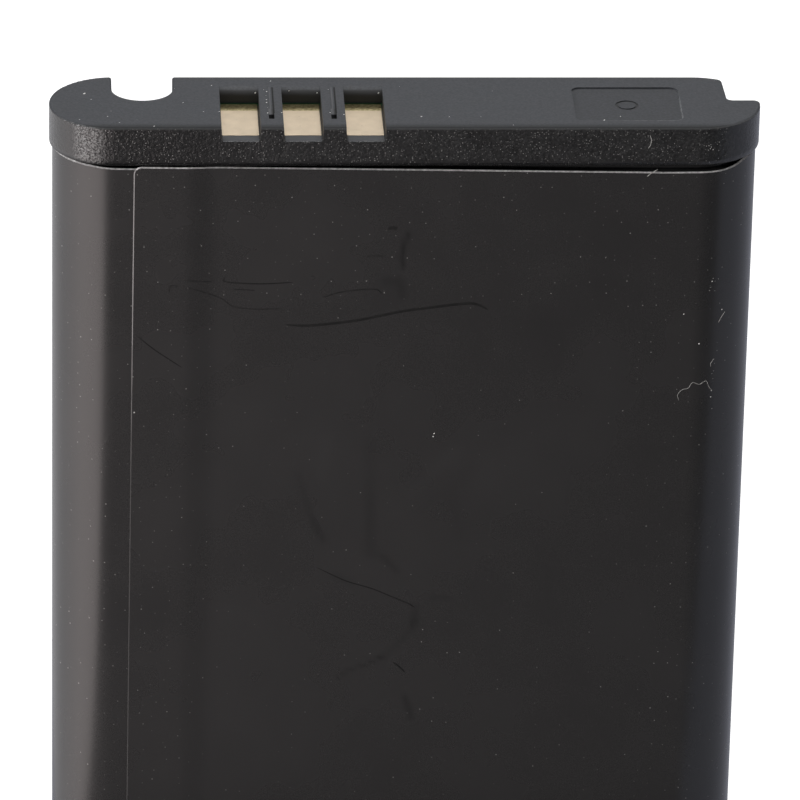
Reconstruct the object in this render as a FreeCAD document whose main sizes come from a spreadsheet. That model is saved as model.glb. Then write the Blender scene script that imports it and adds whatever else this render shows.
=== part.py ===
import FreeCAD, Part
import math
import os
import Sketcher

# Flat rechargeable pack of a handheld console: a sealed cell with a protection board on its lid, closed by a
# moulded contact cap and a plain base cap, and wrapped once in a film label.
# Millimetres and degrees. The pack stands on its base: +Z is up towards the contacts, the film's seam is on
# the front, which looks along -Y, and +X is to the right of that face.

SIZES = {
    # Whole pack and the moulded caps
    "pack_length": 54.5,
    "cap_width": 38.0,
    "cap_depth": 6.85,
    "flange_height": 2.22,
    "flange_overhang": 0.165,
    "edge_round": 0.12,
    "skirt_height": 3.5,
    "relief_depth": 0.25,
    "relief_height": 0.5,
    "cap_wall": 0.8,
    "roof_thickness": 0.81,
    "key_floor": 0.6,
    # Keying notch and step in the contact cap's back edge
    "notch_from_end": 4.98,
    "notch_radius": 1.63,
    "notch_depth": 3.15,
    "notch_round": 0.15,
    "step_width": 1.85,
    "step_slant": 0.12,
    "step_depth": 3.1,
    "step_round": 0.35,
    # Contact windows, and the ramped slits between them with a pit at the front end
    "contact_from_end": 10.15,
    "contact_pitch": 3.32,
    "window_width": 2.1,
    "window_reach": 5.2,
    "window_round": 0.4,
    "sill_bevel": 0.1,
    "slit_width": 0.3,
    "slit_depth": 0.1,
    "pit_length": 0.8,
    "pit_depth": 0.5,
    "slit_from_front": 1.2,
    "slit_from_back": 1.3,
    # Shallow panel with a ring mark
    "panel_from_end": 7.16,
    "panel_from_front": 0.98,
    "panel_width": 5.72,
    "panel_height": 4.42,
    "panel_depth": 0.08,
    "panel_round": 0.45,
    "ring_radius": 0.62,
    "ring_line": 0.16,
    "ring_depth": 0.05,
    # Film label
    "film_thickness": 0.1,
    "glue_line": 0.03,
    "seam_from_end": 4.5,
    "seam_overlap": 2.3,
    "seam_ramp": 1.85,
    "film_gap": 0.09,
    "film_skew": 0.78,
    "seam_lean": 0.35,
    "film_corner": 0.42,
    # Base cap and its tape
    "base_height": 1.2,
    "plinth_height": 0.4,
    "tape_thickness": 0.15,
    "tape_margin": 0.5,
    # Cell can and the terminal in its lid
    "can_edge_bevel": 0.4,
    "terminal_recess": 0.1,
    "gasket_radius": 1.9,
    "gasket_thickness": 0.4,
    "rivet_stem_radius": 0.8,
    "rivet_head_radius": 1.4,
    "rivet_head_height": 0.3,
    "rivet_clearance": 0.02,
    # Card, fuse and nickel strips over the lid
    "card_thickness": 0.2,
    "card_clearance": 0.15,
    "strip_thickness": 0.12,
    "strip_width": 2.4,
    "fuse_length": 5.2,
    "fuse_width": 2.8,
    "fuse_height": 1.0,
    "stub_length": 1.1,
    "stub_thickness": 0.15,
    "strip_foot": 2.3,
    "positive_from_end": 0.7,
    "lead_from_end": 1.6,
    "lead_run": 1.9,
    # Board, plates and the parts soldered under the board
    "board_thickness": 0.8,
    "board_clearance": 0.07,
    "board_side_gap": 0.1,
    "plate_width": 1.96,
    "plate_length": 4.15,
    "plate_thickness": 0.05,
    "part_spacing": 0.5,
    "thermistor_height": 0.5,
    "chip_length": 1.6,
    "chip_width": 0.8,
    "chip_end": 0.3,
    "chip_lip": 0.03,
    "resistor_height": 0.45,
    "capacitor_height": 0.8,
    "switch_body_length": 4.4,
    "switch_span": 6.4,
    "switch_width": 3.0,
    "switch_height": 1.0,
    "switch_lead_pitch": 0.65,
    "switch_lead_width": 0.25,
    "guard_body_length": 1.6,
    "guard_span": 2.8,
    "guard_width": 2.9,
    "guard_height": 1.1,
    "guard_lead_pitch": 0.95,
    "guard_lead_width": 0.4,
    "chip_lead_thickness": 0.15,
    "chip_body_chamfer": 0.12,
}
SWITCH_LEAD_COUNT = 4
GUARD_LEAD_COUNT = 3
CONTACT_NAMES = ("left", "middle", "right")
RESISTOR_COUNT = 3
CAPACITOR_COUNT = 2
# Lengths closer than this count as equal when edges are picked
TOUCH = 1e-4

# Places worked out from the sizes, as expressions on the sheet
END_CENTRE = "((Sizes.cap_width - Sizes.cap_depth) / 2)"
CAP_RADIUS = "(Sizes.cap_depth / 2)"
CELL_RADIUS = f"({CAP_RADIUS} - Sizes.flange_overhang - Sizes.film_thickness - Sizes.glue_line)"
CAVITY_RADIUS = f"({CAP_RADIUS} - Sizes.cap_wall)"
LEFT_END = "(-Sizes.cap_width / 2)"
RIGHT_END = "(Sizes.cap_width / 2)"
FLANGE_FOOT = "(Sizes.pack_length - Sizes.flange_height)"
LID = f"({FLANGE_FOOT} - Sizes.skirt_height)"
ROOF = "(Sizes.pack_length - Sizes.roof_thickness)"
CAN_FOOT = "(Sizes.base_height + Sizes.plinth_height + Sizes.tape_thickness)"
NOTCH_X = f"({LEFT_END} + Sizes.notch_from_end)"
STEP_X = f"({RIGHT_END} - Sizes.step_width)"
BAY_LEFT = f"({NOTCH_X} + Sizes.notch_radius + Sizes.cap_wall)"
BAY_RIGHT = f"({STEP_X} - Sizes.cap_wall)"
CONTACT_X = f"({LEFT_END} + Sizes.contact_from_end)"
PANEL_X = f"({RIGHT_END} - Sizes.panel_from_end)"
PANEL_Y = f"(Sizes.panel_from_front + Sizes.panel_height / 2 - {CAP_RADIUS})"
SEAM_X = f"({LEFT_END} + Sizes.seam_from_end)"
BOARD_LEFT = f"({BAY_LEFT} + Sizes.board_side_gap)"
BOARD_RIGHT = f"({BAY_RIGHT} - Sizes.board_side_gap)"
BOARD_FRONT = f"(Sizes.board_side_gap - {CAVITY_RADIUS})"
BOARD_TOP = f"({ROOF} - Sizes.board_clearance)"
BOARD_FOOT = f"({BOARD_TOP} - Sizes.board_thickness)"
CARD_TOP = f"({LID} + Sizes.card_thickness)"
GASKET_FOOT = f"({LID} - Sizes.terminal_recess)"
GASKET_TOP = f"({GASKET_FOOT} + Sizes.gasket_thickness)"
RIVET_TOP = f"({GASKET_TOP} + Sizes.rivet_head_height)"
POSITIVE_RISE = f"({BOARD_LEFT} + Sizes.positive_from_end)"
LEAD_RISE = f"({BOARD_RIGHT} - Sizes.lead_from_end - Sizes.strip_foot)"
FUSE_END = f"({LEAD_RISE} - Sizes.lead_run)"
FUSE_START = f"({FUSE_END} - Sizes.fuse_length)"

doc = FreeCAD.newDocument("console_battery")
sheet = doc.addObject("Spreadsheet::Sheet", "Sizes")
for row, (alias, size) in enumerate(SIZES.items(), start=1):
    sheet.set(f"A{row}", alias)
    sheet.set(f"B{row}", str(size))
    sheet.setAlias(f"B{row}", alias)
doc.recompute()

sub_parts = []


def value(expression):
    """Present value of an expression on the sheet."""
    return float(sheet.evalExpression(expression))


def point(x, y, z=0.0):
    return FreeCAD.Vector(x, y, z)


def bind(target, expressions):
    for name, expression in expressions.items():
        target.setExpression(name, expression)


def new_body(label):
    body = doc.addObject("PartDesign::Body", label)
    sub_parts.append(body)
    return body


def new_sketch(body, role="XY_Plane", offset="0"):
    """Sketch on one of the body's origin planes, moved along the plane's normal by an expression."""
    sketch = body.newObject("Sketcher::SketchObject", "Sketch")
    origin_plane = next(plane for plane in body.Origin.OriginFeatures if plane.Role == role)
    sketch.AttachmentSupport = [(origin_plane, "")]
    sketch.MapMode = "FlatFace"
    sketch.setExpression("AttachmentOffset.Base.z", offset)
    return sketch


def hold(sketch, kind, elements, expression):
    """Dimension of a sketch, bound to an expression."""
    index = sketch.addConstraint(Sketcher.Constraint(kind, *elements, value(expression)))
    sketch.setExpression(f"Constraints[{index}]", expression)


def polygon(sketch, corners):
    """Closed outline of straight lines; each corner is a pair of expressions."""
    places = [point(value(across), value(up)) for across, up in corners]
    first = sketch.GeometryCount
    following = [(number + 1) % len(places) for number in range(len(places))]
    for number, after in enumerate(following):
        sketch.addGeometry(Part.LineSegment(places[number], places[after]))
    for number, after in enumerate(following):
        sketch.addConstraint(Sketcher.Constraint("Coincident", first + number, 2, first + after, 1))
    for number, (across, up) in enumerate(corners):
        hold(sketch, "DistanceX", (-1, 1, first + number, 1), across)
        hold(sketch, "DistanceY", (-1, 1, first + number, 1), up)


def rectangle(sketch, left, right, low, high):
    polygon(sketch, ((left, low), (right, low), (right, high), (left, high)))


def circle(sketch, x, y, radius):
    number = sketch.GeometryCount
    upright = point(0, 0, 1)
    sketch.addGeometry(Part.Circle(point(value(x), value(y)), upright, value(radius)))
    hold(sketch, "DistanceX", (-1, 1, number, 3), x)
    hold(sketch, "DistanceY", (-1, 1, number, 3), y)
    hold(sketch, "Radius", (number,), radius)


def stadium(sketch, radius):
    """Outline of the pack and of all that lies parallel to it: two straight sides and half-round ends."""
    reach = value(END_CENTRE)
    size = value(radius)
    upright = point(0, 0, 1)
    quarter = math.pi / 2
    front, right, back, left = range(sketch.GeometryCount, sketch.GeometryCount + 4)
    sketch.addGeometry(Part.LineSegment(point(-reach, -size), point(reach, -size)))
    sketch.addGeometry(Part.ArcOfCircle(Part.Circle(point(reach, 0), upright, size), -quarter, quarter))
    sketch.addGeometry(Part.LineSegment(point(reach, size), point(-reach, size)))
    sketch.addGeometry(Part.ArcOfCircle(Part.Circle(point(-reach, 0), upright, size), quarter, 3 * quarter))
    for earlier, later in ((front, right), (right, back), (back, left), (left, front)):
        sketch.addConstraint(Sketcher.Constraint("Tangent", earlier, 2, later, 1))
    sketch.addConstraint(Sketcher.Constraint("Equal", right, left))
    sketch.addConstraint(Sketcher.Constraint("PointOnObject", right, 3, -1))
    sketch.addConstraint(Sketcher.Constraint("PointOnObject", left, 3, -1))
    hold(sketch, "DistanceX", (-1, 1, right, 3), END_CENTRE)
    hold(sketch, "DistanceX", (left, 3, -1, 1), END_CENTRE)
    hold(sketch, "Radius", (right,), radius)


def pad(body, sketch, length, downwards=False):
    feature = body.newObject("PartDesign::Pad", "Pad")
    feature.Profile = sketch
    feature.Reversed = downwards
    feature.setExpression("Length", length)
    return feature


def pocket(body, sketch, length, upwards=False):
    feature = body.newObject("PartDesign::Pocket", "Pocket")
    feature.Profile = sketch
    feature.Reversed = upwards
    feature.setExpression("Length", length)
    return feature


def row_of(body, feature, sketch, axis, length, count):
    """Copies of a feature in a straight row along an axis of a sketch."""
    pattern = body.newObject("PartDesign::LinearPattern", "Row")
    pattern.Originals = [feature]
    pattern.Direction = (sketch, [axis])
    pattern.setExpression("Length", length)
    pattern.Occurrences = count
    body.Tip = pattern
    return pattern


def upright_edge(edge):
    box = edge.BoundBox
    return box.ZLength > TOUCH and max(box.XLength, box.YLength) < TOUCH


def edges_at(*levels):
    """Test for edges that lie wholly at one of some heights."""
    heights = [value(level) for level in levels]

    def at_height(edge):
        box = edge.BoundBox
        return any(abs(box.ZMin - height) < TOUCH and abs(box.ZMax - height) < TOUCH for height in heights)
    return at_height


def dress(body, kind, test, dimension, size):
    """Fillet or chamfer on the edges of the body so far that pass a test."""
    doc.recompute()
    base = body.Tip
    names = [f"Edge{number}" for number, edge in enumerate(base.Shape.Edges, start=1) if test(edge)]
    feature = body.newObject(f"PartDesign::{kind}", kind)
    feature.Base = (base, names)
    feature.setExpression(dimension, size)
    return feature


def fillet(body, test, radius):
    return dress(body, "Fillet", test, "Radius", radius)


def block(label, left, front, foot, length, width, height):
    """Plain rectangular solid from its lower left front corner."""
    box = doc.addObject("Part::Box", label)
    bind(box, {
        "Length": length,
        "Width": width,
        "Height": height,
        "Placement.Base.x": left,
        "Placement.Base.y": front,
        "Placement.Base.z": foot,
    })
    return box


# Contact cap: a flange with the contacts' roof, over a skirt that stands on the cell's lid
def contact_end_cap():
    cap = new_body("contact_end_cap")
    flange = new_sketch(cap, offset=FLANGE_FOOT)
    stadium(flange, CAP_RADIUS)
    pad(cap, flange, "Sizes.flange_height")
    cut_keys(cap)
    rim_edges = edges_at(FLANGE_FOOT, "Sizes.pack_length")
    fillet(cap, rim_edges, "Sizes.edge_round")
    # The skirt reaches up past the flange's lower rounds, so that it also floors the notch and the step
    skirt = new_sketch(cap, offset=f"{FLANGE_FOOT} + Sizes.edge_round")
    stadium(skirt, CELL_RADIUS)
    pad(cap, skirt, "Sizes.skirt_height + Sizes.edge_round", downwards=True)
    # A relief round the skirt's root keeps the film's upper edge clear of the corner
    relief = new_sketch(cap, offset=f"{FLANGE_FOOT} - Sizes.relief_height")
    stadium(relief, CELL_RADIUS)
    stadium(relief, f"{CELL_RADIUS} - Sizes.relief_depth")
    pocket(cap, relief, "Sizes.relief_height + Sizes.edge_round", upwards=True)
    hollow = new_sketch(cap, offset=LID)
    stadium(hollow, CAVITY_RADIUS)
    pocket(cap, hollow, "Sizes.skirt_height - Sizes.key_floor", upwards=True)
    bay = new_sketch(cap, offset=LID)
    rectangle(bay, BAY_LEFT, BAY_RIGHT, f"-{CAVITY_RADIUS}", CAVITY_RADIUS)
    pocket(cap, bay, f"{ROOF} - {LID}", upwards=True)
    cut_windows(cap)
    cut_panel(cap)


def cut_keys(cap):
    """U-shaped notch and corner step, both through the flange from its back edge."""
    back = CAP_RADIUS
    outside = "Sizes.cap_depth"
    notch_centre = f"({CAP_RADIUS} - Sizes.notch_depth + Sizes.notch_radius)"
    mouth = new_sketch(cap, offset="Sizes.pack_length")
    rectangle(mouth, f"{NOTCH_X} - Sizes.notch_radius", f"{NOTCH_X} + Sizes.notch_radius",
              notch_centre, outside)
    pocket(cap, mouth, "Sizes.flange_height")
    bottom = new_sketch(cap, offset="Sizes.pack_length")
    circle(bottom, NOTCH_X, notch_centre, "Sizes.notch_radius")
    pocket(cap, bottom, "Sizes.flange_height")
    slope = "Sizes.step_slant / Sizes.step_depth"
    inner = f"{back} - Sizes.step_depth"
    step = new_sketch(cap, offset="Sizes.pack_length")
    polygon(step, (
        (f"{STEP_X} + Sizes.step_slant", inner),
        ("Sizes.cap_width", inner),
        ("Sizes.cap_width", outside),
        (f"{STEP_X} - {slope} * ({outside} - {back})", outside),
    ))
    pocket(cap, step, "Sizes.flange_height")
    notch_x = value(NOTCH_X)
    notch_reach = value("Sizes.notch_radius + Sizes.notch_round")
    notch_line = value(notch_centre)

    def notch_mouth(edge):
        middle = edge.CenterOfMass
        return upright_edge(edge) and abs(middle.x - notch_x) < notch_reach and middle.y > notch_line + TOUCH

    def step_corner(edge):
        return upright_edge(edge) and edge.CenterOfMass.x > step_left

    step_left = value(f"{STEP_X} - Sizes.step_slant")
    fillet(cap, notch_mouth, "Sizes.notch_round")
    fillet(cap, step_corner, "Sizes.step_round")


def cut_windows(cap):
    """Contact windows, open at the front down to a sill with bevelled corners and rounded over at the back,
    with a ramped slit in each bar between them that ends in a pit at the front."""
    front = f"-{CAP_RADIUS}"
    window_left = f"{CONTACT_X} - Sizes.window_width / 2"
    window_right = f"{CONTACT_X} + Sizes.window_width / 2"
    window_back = f"{front} + Sizes.window_reach"
    windows = len(CONTACT_NAMES)
    row_length = f"{windows - 1} * Sizes.contact_pitch"
    window = new_sketch(cap, offset="Sizes.pack_length")
    rectangle(window, window_left, window_right, f"-{CAVITY_RADIUS}", window_back)
    first_window = pocket(cap, window, "Sizes.roof_thickness")
    row_of(cap, first_window, window, "H_Axis", row_length, windows)
    sill = new_sketch(cap, "XZ_Plane", CAP_RADIUS)
    polygon(sill, (
        (window_left, "Sizes.pack_length"),
        (window_left, f"{ROOF} + Sizes.sill_bevel"),
        (f"{window_left} + Sizes.sill_bevel", ROOF),
        (f"{window_right} - Sizes.sill_bevel", ROOF),
        (window_right, f"{ROOF} + Sizes.sill_bevel"),
        (window_right, "Sizes.pack_length"),
    ))
    first_sill = pocket(cap, sill, "Sizes.cap_wall + Sizes.sill_bevel")
    row_of(cap, first_sill, window, "H_Axis", row_length, windows)
    at_top = edges_at("Sizes.pack_length")
    back_line = value(window_back)

    def window_lip(edge):
        box = edge.BoundBox
        return at_top(edge) and abs(box.YMin - back_line) < TOUCH and abs(box.YMax - back_line) < TOUCH

    fillet(cap, window_lip, "Sizes.window_round")
    side = f"{CONTACT_X} + Sizes.contact_pitch / 2 + Sizes.slit_width / 2"
    slit = new_sketch(cap, "YZ_Plane", side)
    slit_front = f"{front} + Sizes.slit_from_front"
    polygon(slit, (
        (slit_front, "Sizes.pack_length - Sizes.pit_depth"),
        (f"{slit_front} + Sizes.pit_length", "Sizes.pack_length - Sizes.pit_depth"),
        (f"{slit_front} + Sizes.pit_length", "Sizes.pack_length - Sizes.slit_depth"),
        (f"{CAP_RADIUS} - Sizes.slit_from_back", "Sizes.pack_length"),
        (slit_front, "Sizes.pack_length"),
    ))
    first_slit = pocket(cap, slit, "Sizes.slit_width")
    slits = windows - 1
    row_of(cap, first_slit, window, "H_Axis", f"{slits - 1} * Sizes.contact_pitch", slits)


def cut_panel(cap):
    """Shallow round-cornered panel with a ring mark."""
    half_width = "Sizes.panel_width / 2"
    half_height = "Sizes.panel_height / 2"
    panel = new_sketch(cap, offset="Sizes.pack_length")
    rectangle(panel, f"{PANEL_X} - {half_width}", f"{PANEL_X} + {half_width}",
              f"{PANEL_Y} - {half_height}", f"{PANEL_Y} + {half_height}")
    pocket(cap, panel, "Sizes.panel_depth")
    panel_x = value(PANEL_X)
    panel_floor = value("Sizes.pack_length - Sizes.panel_depth")
    reach = value("Sizes.panel_width")

    def panel_corner(edge):
        beside = abs(edge.CenterOfMass.x - panel_x) < reach
        return upright_edge(edge) and beside and abs(edge.BoundBox.ZMin - panel_floor) < TOUCH

    fillet(cap, panel_corner, "Sizes.panel_round")
    ring = new_sketch(cap, offset="Sizes.pack_length - Sizes.panel_depth")
    circle(ring, PANEL_X, PANEL_Y, "Sizes.ring_radius")
    circle(ring, PANEL_X, PANEL_Y, "Sizes.ring_radius - Sizes.ring_line")
    pocket(cap, ring, "Sizes.ring_depth")


# Base cap: a plain moulded plate with a low plinth that the film covers
def base_end_cap():
    cap = new_body("base_end_cap")
    plate = new_sketch(cap)
    stadium(plate, CAP_RADIUS)
    pad(cap, plate, "Sizes.base_height")
    fillet(cap, edges_at("0", "Sizes.base_height"), "Sizes.edge_round")
    plinth = new_sketch(cap, offset="Sizes.base_height")
    stadium(plinth, CELL_RADIUS)
    pad(cap, plinth, "Sizes.plinth_height")


# Double-sided tape between the base cap's plinth and the can
def base_tape():
    tape = new_body("base_tape")
    sheet_of_tape = new_sketch(tape, offset="Sizes.base_height + Sizes.plinth_height")
    stadium(sheet_of_tape, f"{CELL_RADIUS} - Sizes.tape_margin")
    pad(tape, sheet_of_tape, "Sizes.tape_thickness")


# Sealed cell: a drawn aluminium can with its lid welded on, one closed solid
def cell_can():
    can = new_body("cell_can")
    wall = new_sketch(can, offset=CAN_FOOT)
    stadium(wall, CELL_RADIUS)
    pad(can, wall, f"{LID} - {CAN_FOOT}")
    dress(can, "Chamfer", edges_at(CAN_FOOT), "Size", "Sizes.can_edge_bevel")
    seat = new_sketch(can, offset=LID)
    circle(seat, "0", "0", "Sizes.gasket_radius + Sizes.rivet_clearance")
    pocket(can, seat, "Sizes.terminal_recess")


# Negative terminal: a rivet through an insulating gasket
def terminal_gasket():
    gasket = new_body("terminal_gasket")
    ring = new_sketch(gasket, offset=GASKET_FOOT)
    circle(ring, "0", "0", "Sizes.gasket_radius")
    circle(ring, "0", "0", "Sizes.rivet_stem_radius + Sizes.rivet_clearance")
    pad(gasket, ring, "Sizes.gasket_thickness")


def cell_terminal():
    rivet = new_body("cell_terminal")
    half_section = new_sketch(rivet, "XZ_Plane")
    polygon(half_section, (
        ("0", GASKET_FOOT),
        ("Sizes.rivet_stem_radius", GASKET_FOOT),
        ("Sizes.rivet_stem_radius", GASKET_TOP),
        ("Sizes.rivet_head_radius", GASKET_TOP),
        ("Sizes.rivet_head_radius", RIVET_TOP),
        ("0", RIVET_TOP),
    ))
    turned = rivet.newObject("PartDesign::Revolution", "Revolution")
    turned.Profile = half_section
    turned.ReferenceAxis = (half_section, ["V_Axis"])
    turned.Angle = 360


# Insulating card on the lid, cut out round the terminal and under the positive strip
def insulating_card():
    card = new_body("insulating_card")
    blank = new_sketch(card, offset=LID)
    stadium(blank, f"{CAVITY_RADIUS} - Sizes.card_clearance")
    pad(card, blank, "Sizes.card_thickness")
    cut_outs = new_sketch(card, offset=CARD_TOP)
    circle(cut_outs, "0", "0", "Sizes.gasket_radius + Sizes.card_clearance")
    half_strip = "(Sizes.strip_width / 2 + Sizes.card_clearance)"
    rectangle(cut_outs, f"{POSITIVE_RISE} - Sizes.strip_foot - Sizes.card_clearance",
              f"{POSITIVE_RISE} + Sizes.strip_thickness + Sizes.card_clearance", f"-{half_strip}", half_strip)
    pocket(card, cut_outs, "Sizes.card_thickness")


def strip(label, corners):
    """Nickel strip of one width, from its bent outline seen from the front."""
    ribbon = new_body(label)
    outline = new_sketch(ribbon, "XZ_Plane", "-Sizes.strip_width / 2")
    polygon(outline, corners)
    pad(ribbon, outline, "Sizes.strip_width")


# Strip from the lid, which is the positive pole, up to the board
def positive_tab():
    left = f"{POSITIVE_RISE} - Sizes.strip_foot"
    inner = f"{POSITIVE_RISE} + Sizes.strip_thickness"
    strip("positive_tab", (
        (left, LID),
        (inner, LID),
        (inner, f"{BOARD_FOOT} - Sizes.strip_thickness"),
        (f"{POSITIVE_RISE} + Sizes.strip_foot", f"{BOARD_FOOT} - Sizes.strip_thickness"),
        (f"{POSITIVE_RISE} + Sizes.strip_foot", BOARD_FOOT),
        (POSITIVE_RISE, BOARD_FOOT),
        (POSITIVE_RISE, f"{LID} + Sizes.strip_thickness"),
        (left, f"{LID} + Sizes.strip_thickness"),
    ))


# Strip from the rivet to the near end of the thermal fuse
def negative_tab():
    top = f"{RIVET_TOP} + Sizes.strip_thickness"
    strip("negative_tab", (
        ("-Sizes.rivet_head_radius", RIVET_TOP),
        (f"{FUSE_START} - Sizes.card_clearance", RIVET_TOP),
        (f"{FUSE_START} - Sizes.card_clearance", top),
        ("-Sizes.rivet_head_radius", top),
    ))


# Thermal fuse lying on the card, with a flat stub lead at each end
def thermal_fuse():
    fuse = new_body("thermal_fuse")
    half_fuse = "Sizes.fuse_width / 2"
    case = new_sketch(fuse, offset=CARD_TOP)
    rectangle(case, FUSE_START, FUSE_END, f"-{half_fuse}", half_fuse)
    pad(fuse, case, "Sizes.fuse_height")
    half_strip = "Sizes.strip_width / 2"
    stubs = new_sketch(fuse, offset=f"{RIVET_TOP} - Sizes.stub_thickness")
    rectangle(stubs, f"{FUSE_START} - Sizes.stub_length", f"{FUSE_END} + Sizes.stub_length",
              f"-{half_strip}", half_strip)
    pad(fuse, stubs, "Sizes.stub_thickness")


# Strip from the far end of the fuse up to the board
def fuse_lead():
    top = f"{RIVET_TOP} + Sizes.strip_thickness"
    inner = f"{LEAD_RISE} + Sizes.strip_thickness"
    start = f"{FUSE_END} + Sizes.card_clearance"
    strip("fuse_lead", (
        (start, RIVET_TOP),
        (inner, RIVET_TOP),
        (inner, f"{BOARD_FOOT} - Sizes.strip_thickness"),
        (f"{LEAD_RISE} + Sizes.strip_foot", f"{BOARD_FOOT} - Sizes.strip_thickness"),
        (f"{LEAD_RISE} + Sizes.strip_foot", BOARD_FOOT),
        (LEAD_RISE, BOARD_FOOT),
        (LEAD_RISE, top),
        (start, top),
    ))


# Protection board close under the cap's roof, and the gold-plated contacts on it
def circuit_board():
    sub_parts.append(block(
        "circuit_board", BOARD_LEFT, BOARD_FRONT, BOARD_FOOT,
        f"{BOARD_RIGHT} - {BOARD_LEFT}", f"-2 * {BOARD_FRONT}", "Sizes.board_thickness"))


def contact_plates():
    for number, name in enumerate(CONTACT_NAMES):
        left = f"{CONTACT_X} + {number} * Sizes.contact_pitch - Sizes.plate_width / 2"
        sub_parts.append(block(
            f"contact_plate_{name}", left, BOARD_FRONT, BOARD_TOP,
            "Sizes.plate_width", "Sizes.plate_length", "Sizes.plate_thickness"))


def chip_component(label, left, centre, height):
    """Small two-ended component hung under the board: a body between two slightly larger metal ends."""
    lip = "Sizes.chip_lip"
    front = f"{centre} - Sizes.chip_width / 2"
    foot = f"{BOARD_FOOT} - {height}"
    body = block(f"{label}_body", left, f"{front} + {lip}", f"{foot} + {lip}",
                 "Sizes.chip_length", f"Sizes.chip_width - 2 * {lip}", f"{height} - 2 * {lip}")
    near_end = block(f"{label}_near_end", left, front, foot, "Sizes.chip_end", "Sizes.chip_width", height)
    far_end = block(f"{label}_far_end", f"{left} + Sizes.chip_length - Sizes.chip_end", front, foot,
                    "Sizes.chip_end", "Sizes.chip_width", height)
    component = doc.addObject("Part::MultiFuse", label)
    component.Shapes = [body, near_end, far_end]
    sub_parts.append(component)


def leaded_chip(label, left, kind, leads):
    """Moulded chip hung under the board, with flat leads out of its two ends."""
    chip = new_body(label)
    middle = f"({left} + Sizes.{kind}_span / 2)"
    half_body = f"Sizes.{kind}_body_length / 2"
    half_width = f"Sizes.{kind}_width / 2"
    case = new_sketch(chip, offset=BOARD_FOOT)
    rectangle(case, f"{middle} - {half_body}", f"{middle} + {half_body}", f"-{half_width}", half_width)
    pad(chip, case, f"Sizes.{kind}_height", downwards=True)
    dress(chip, "Chamfer", edges_at(f"{BOARD_FOOT} - Sizes.{kind}_height"), "Size", "Sizes.chip_body_chamfer")
    first = f"-{leads - 1} * Sizes.{kind}_lead_pitch / 2"
    half_lead = f"Sizes.{kind}_lead_width / 2"
    lead = new_sketch(chip, offset=BOARD_FOOT)
    rectangle(lead, left, f"{left} + Sizes.{kind}_span", f"{first} - {half_lead}", f"{first} + {half_lead}")
    first_lead = pad(chip, lead, "Sizes.chip_lead_thickness", downwards=True)
    row_of(chip, first_lead, lead, "V_Axis", f"{leads - 1} * Sizes.{kind}_lead_pitch", leads)


# Protection circuit, in a row under the board between the two strips that are soldered to it
def board_components():
    spacing = "Sizes.part_spacing"
    along = f"{POSITIVE_RISE} + Sizes.strip_foot + {spacing}"
    leaded_chip("switch_chip", f"({along})", "switch", SWITCH_LEAD_COUNT)
    along += f" + Sizes.switch_span + {spacing}"
    leaded_chip("protection_chip", f"({along})", "guard", GUARD_LEAD_COUNT)
    along += f" + Sizes.guard_span + {spacing}"
    back_row = f"{CAVITY_RADIUS} / 2"
    front_row = f"-{CAVITY_RADIUS} / 2"
    places = [f"{along} + {number} * (Sizes.chip_length + {spacing})" for number in range(RESISTOR_COUNT)]
    for number, left in enumerate(places, start=1):
        chip_component(f"chip_resistor_{number}", left, back_row, "Sizes.resistor_height")
    for number, left in enumerate(places[:CAPACITOR_COUNT], start=1):
        chip_component(f"chip_capacitor_{number}", left, front_row, "Sizes.capacitor_height")
    chip_component("thermistor", places[CAPACITOR_COUNT], front_row, "Sizes.thermistor_height")


def film_turn(radius, first, last):
    """One turn round the cell, leftwards from one place on the front to another, its ends at a radius."""
    reach = value(END_CENTRE)
    return [
        Part.LineSegment(point(first, -radius), point(-reach, -radius)).toShape(),
        Part.Arc(point(-reach, -radius), point(-reach - radius, 0), point(-reach, radius)).toShape(),
        Part.LineSegment(point(-reach, radius), point(reach, radius)).toShape(),
        Part.Arc(point(reach, radius), point(reach + radius, 0), point(reach, -radius)).toShape(),
        Part.LineSegment(point(reach, -radius), point(last, -radius)).toShape(),
    ]


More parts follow.
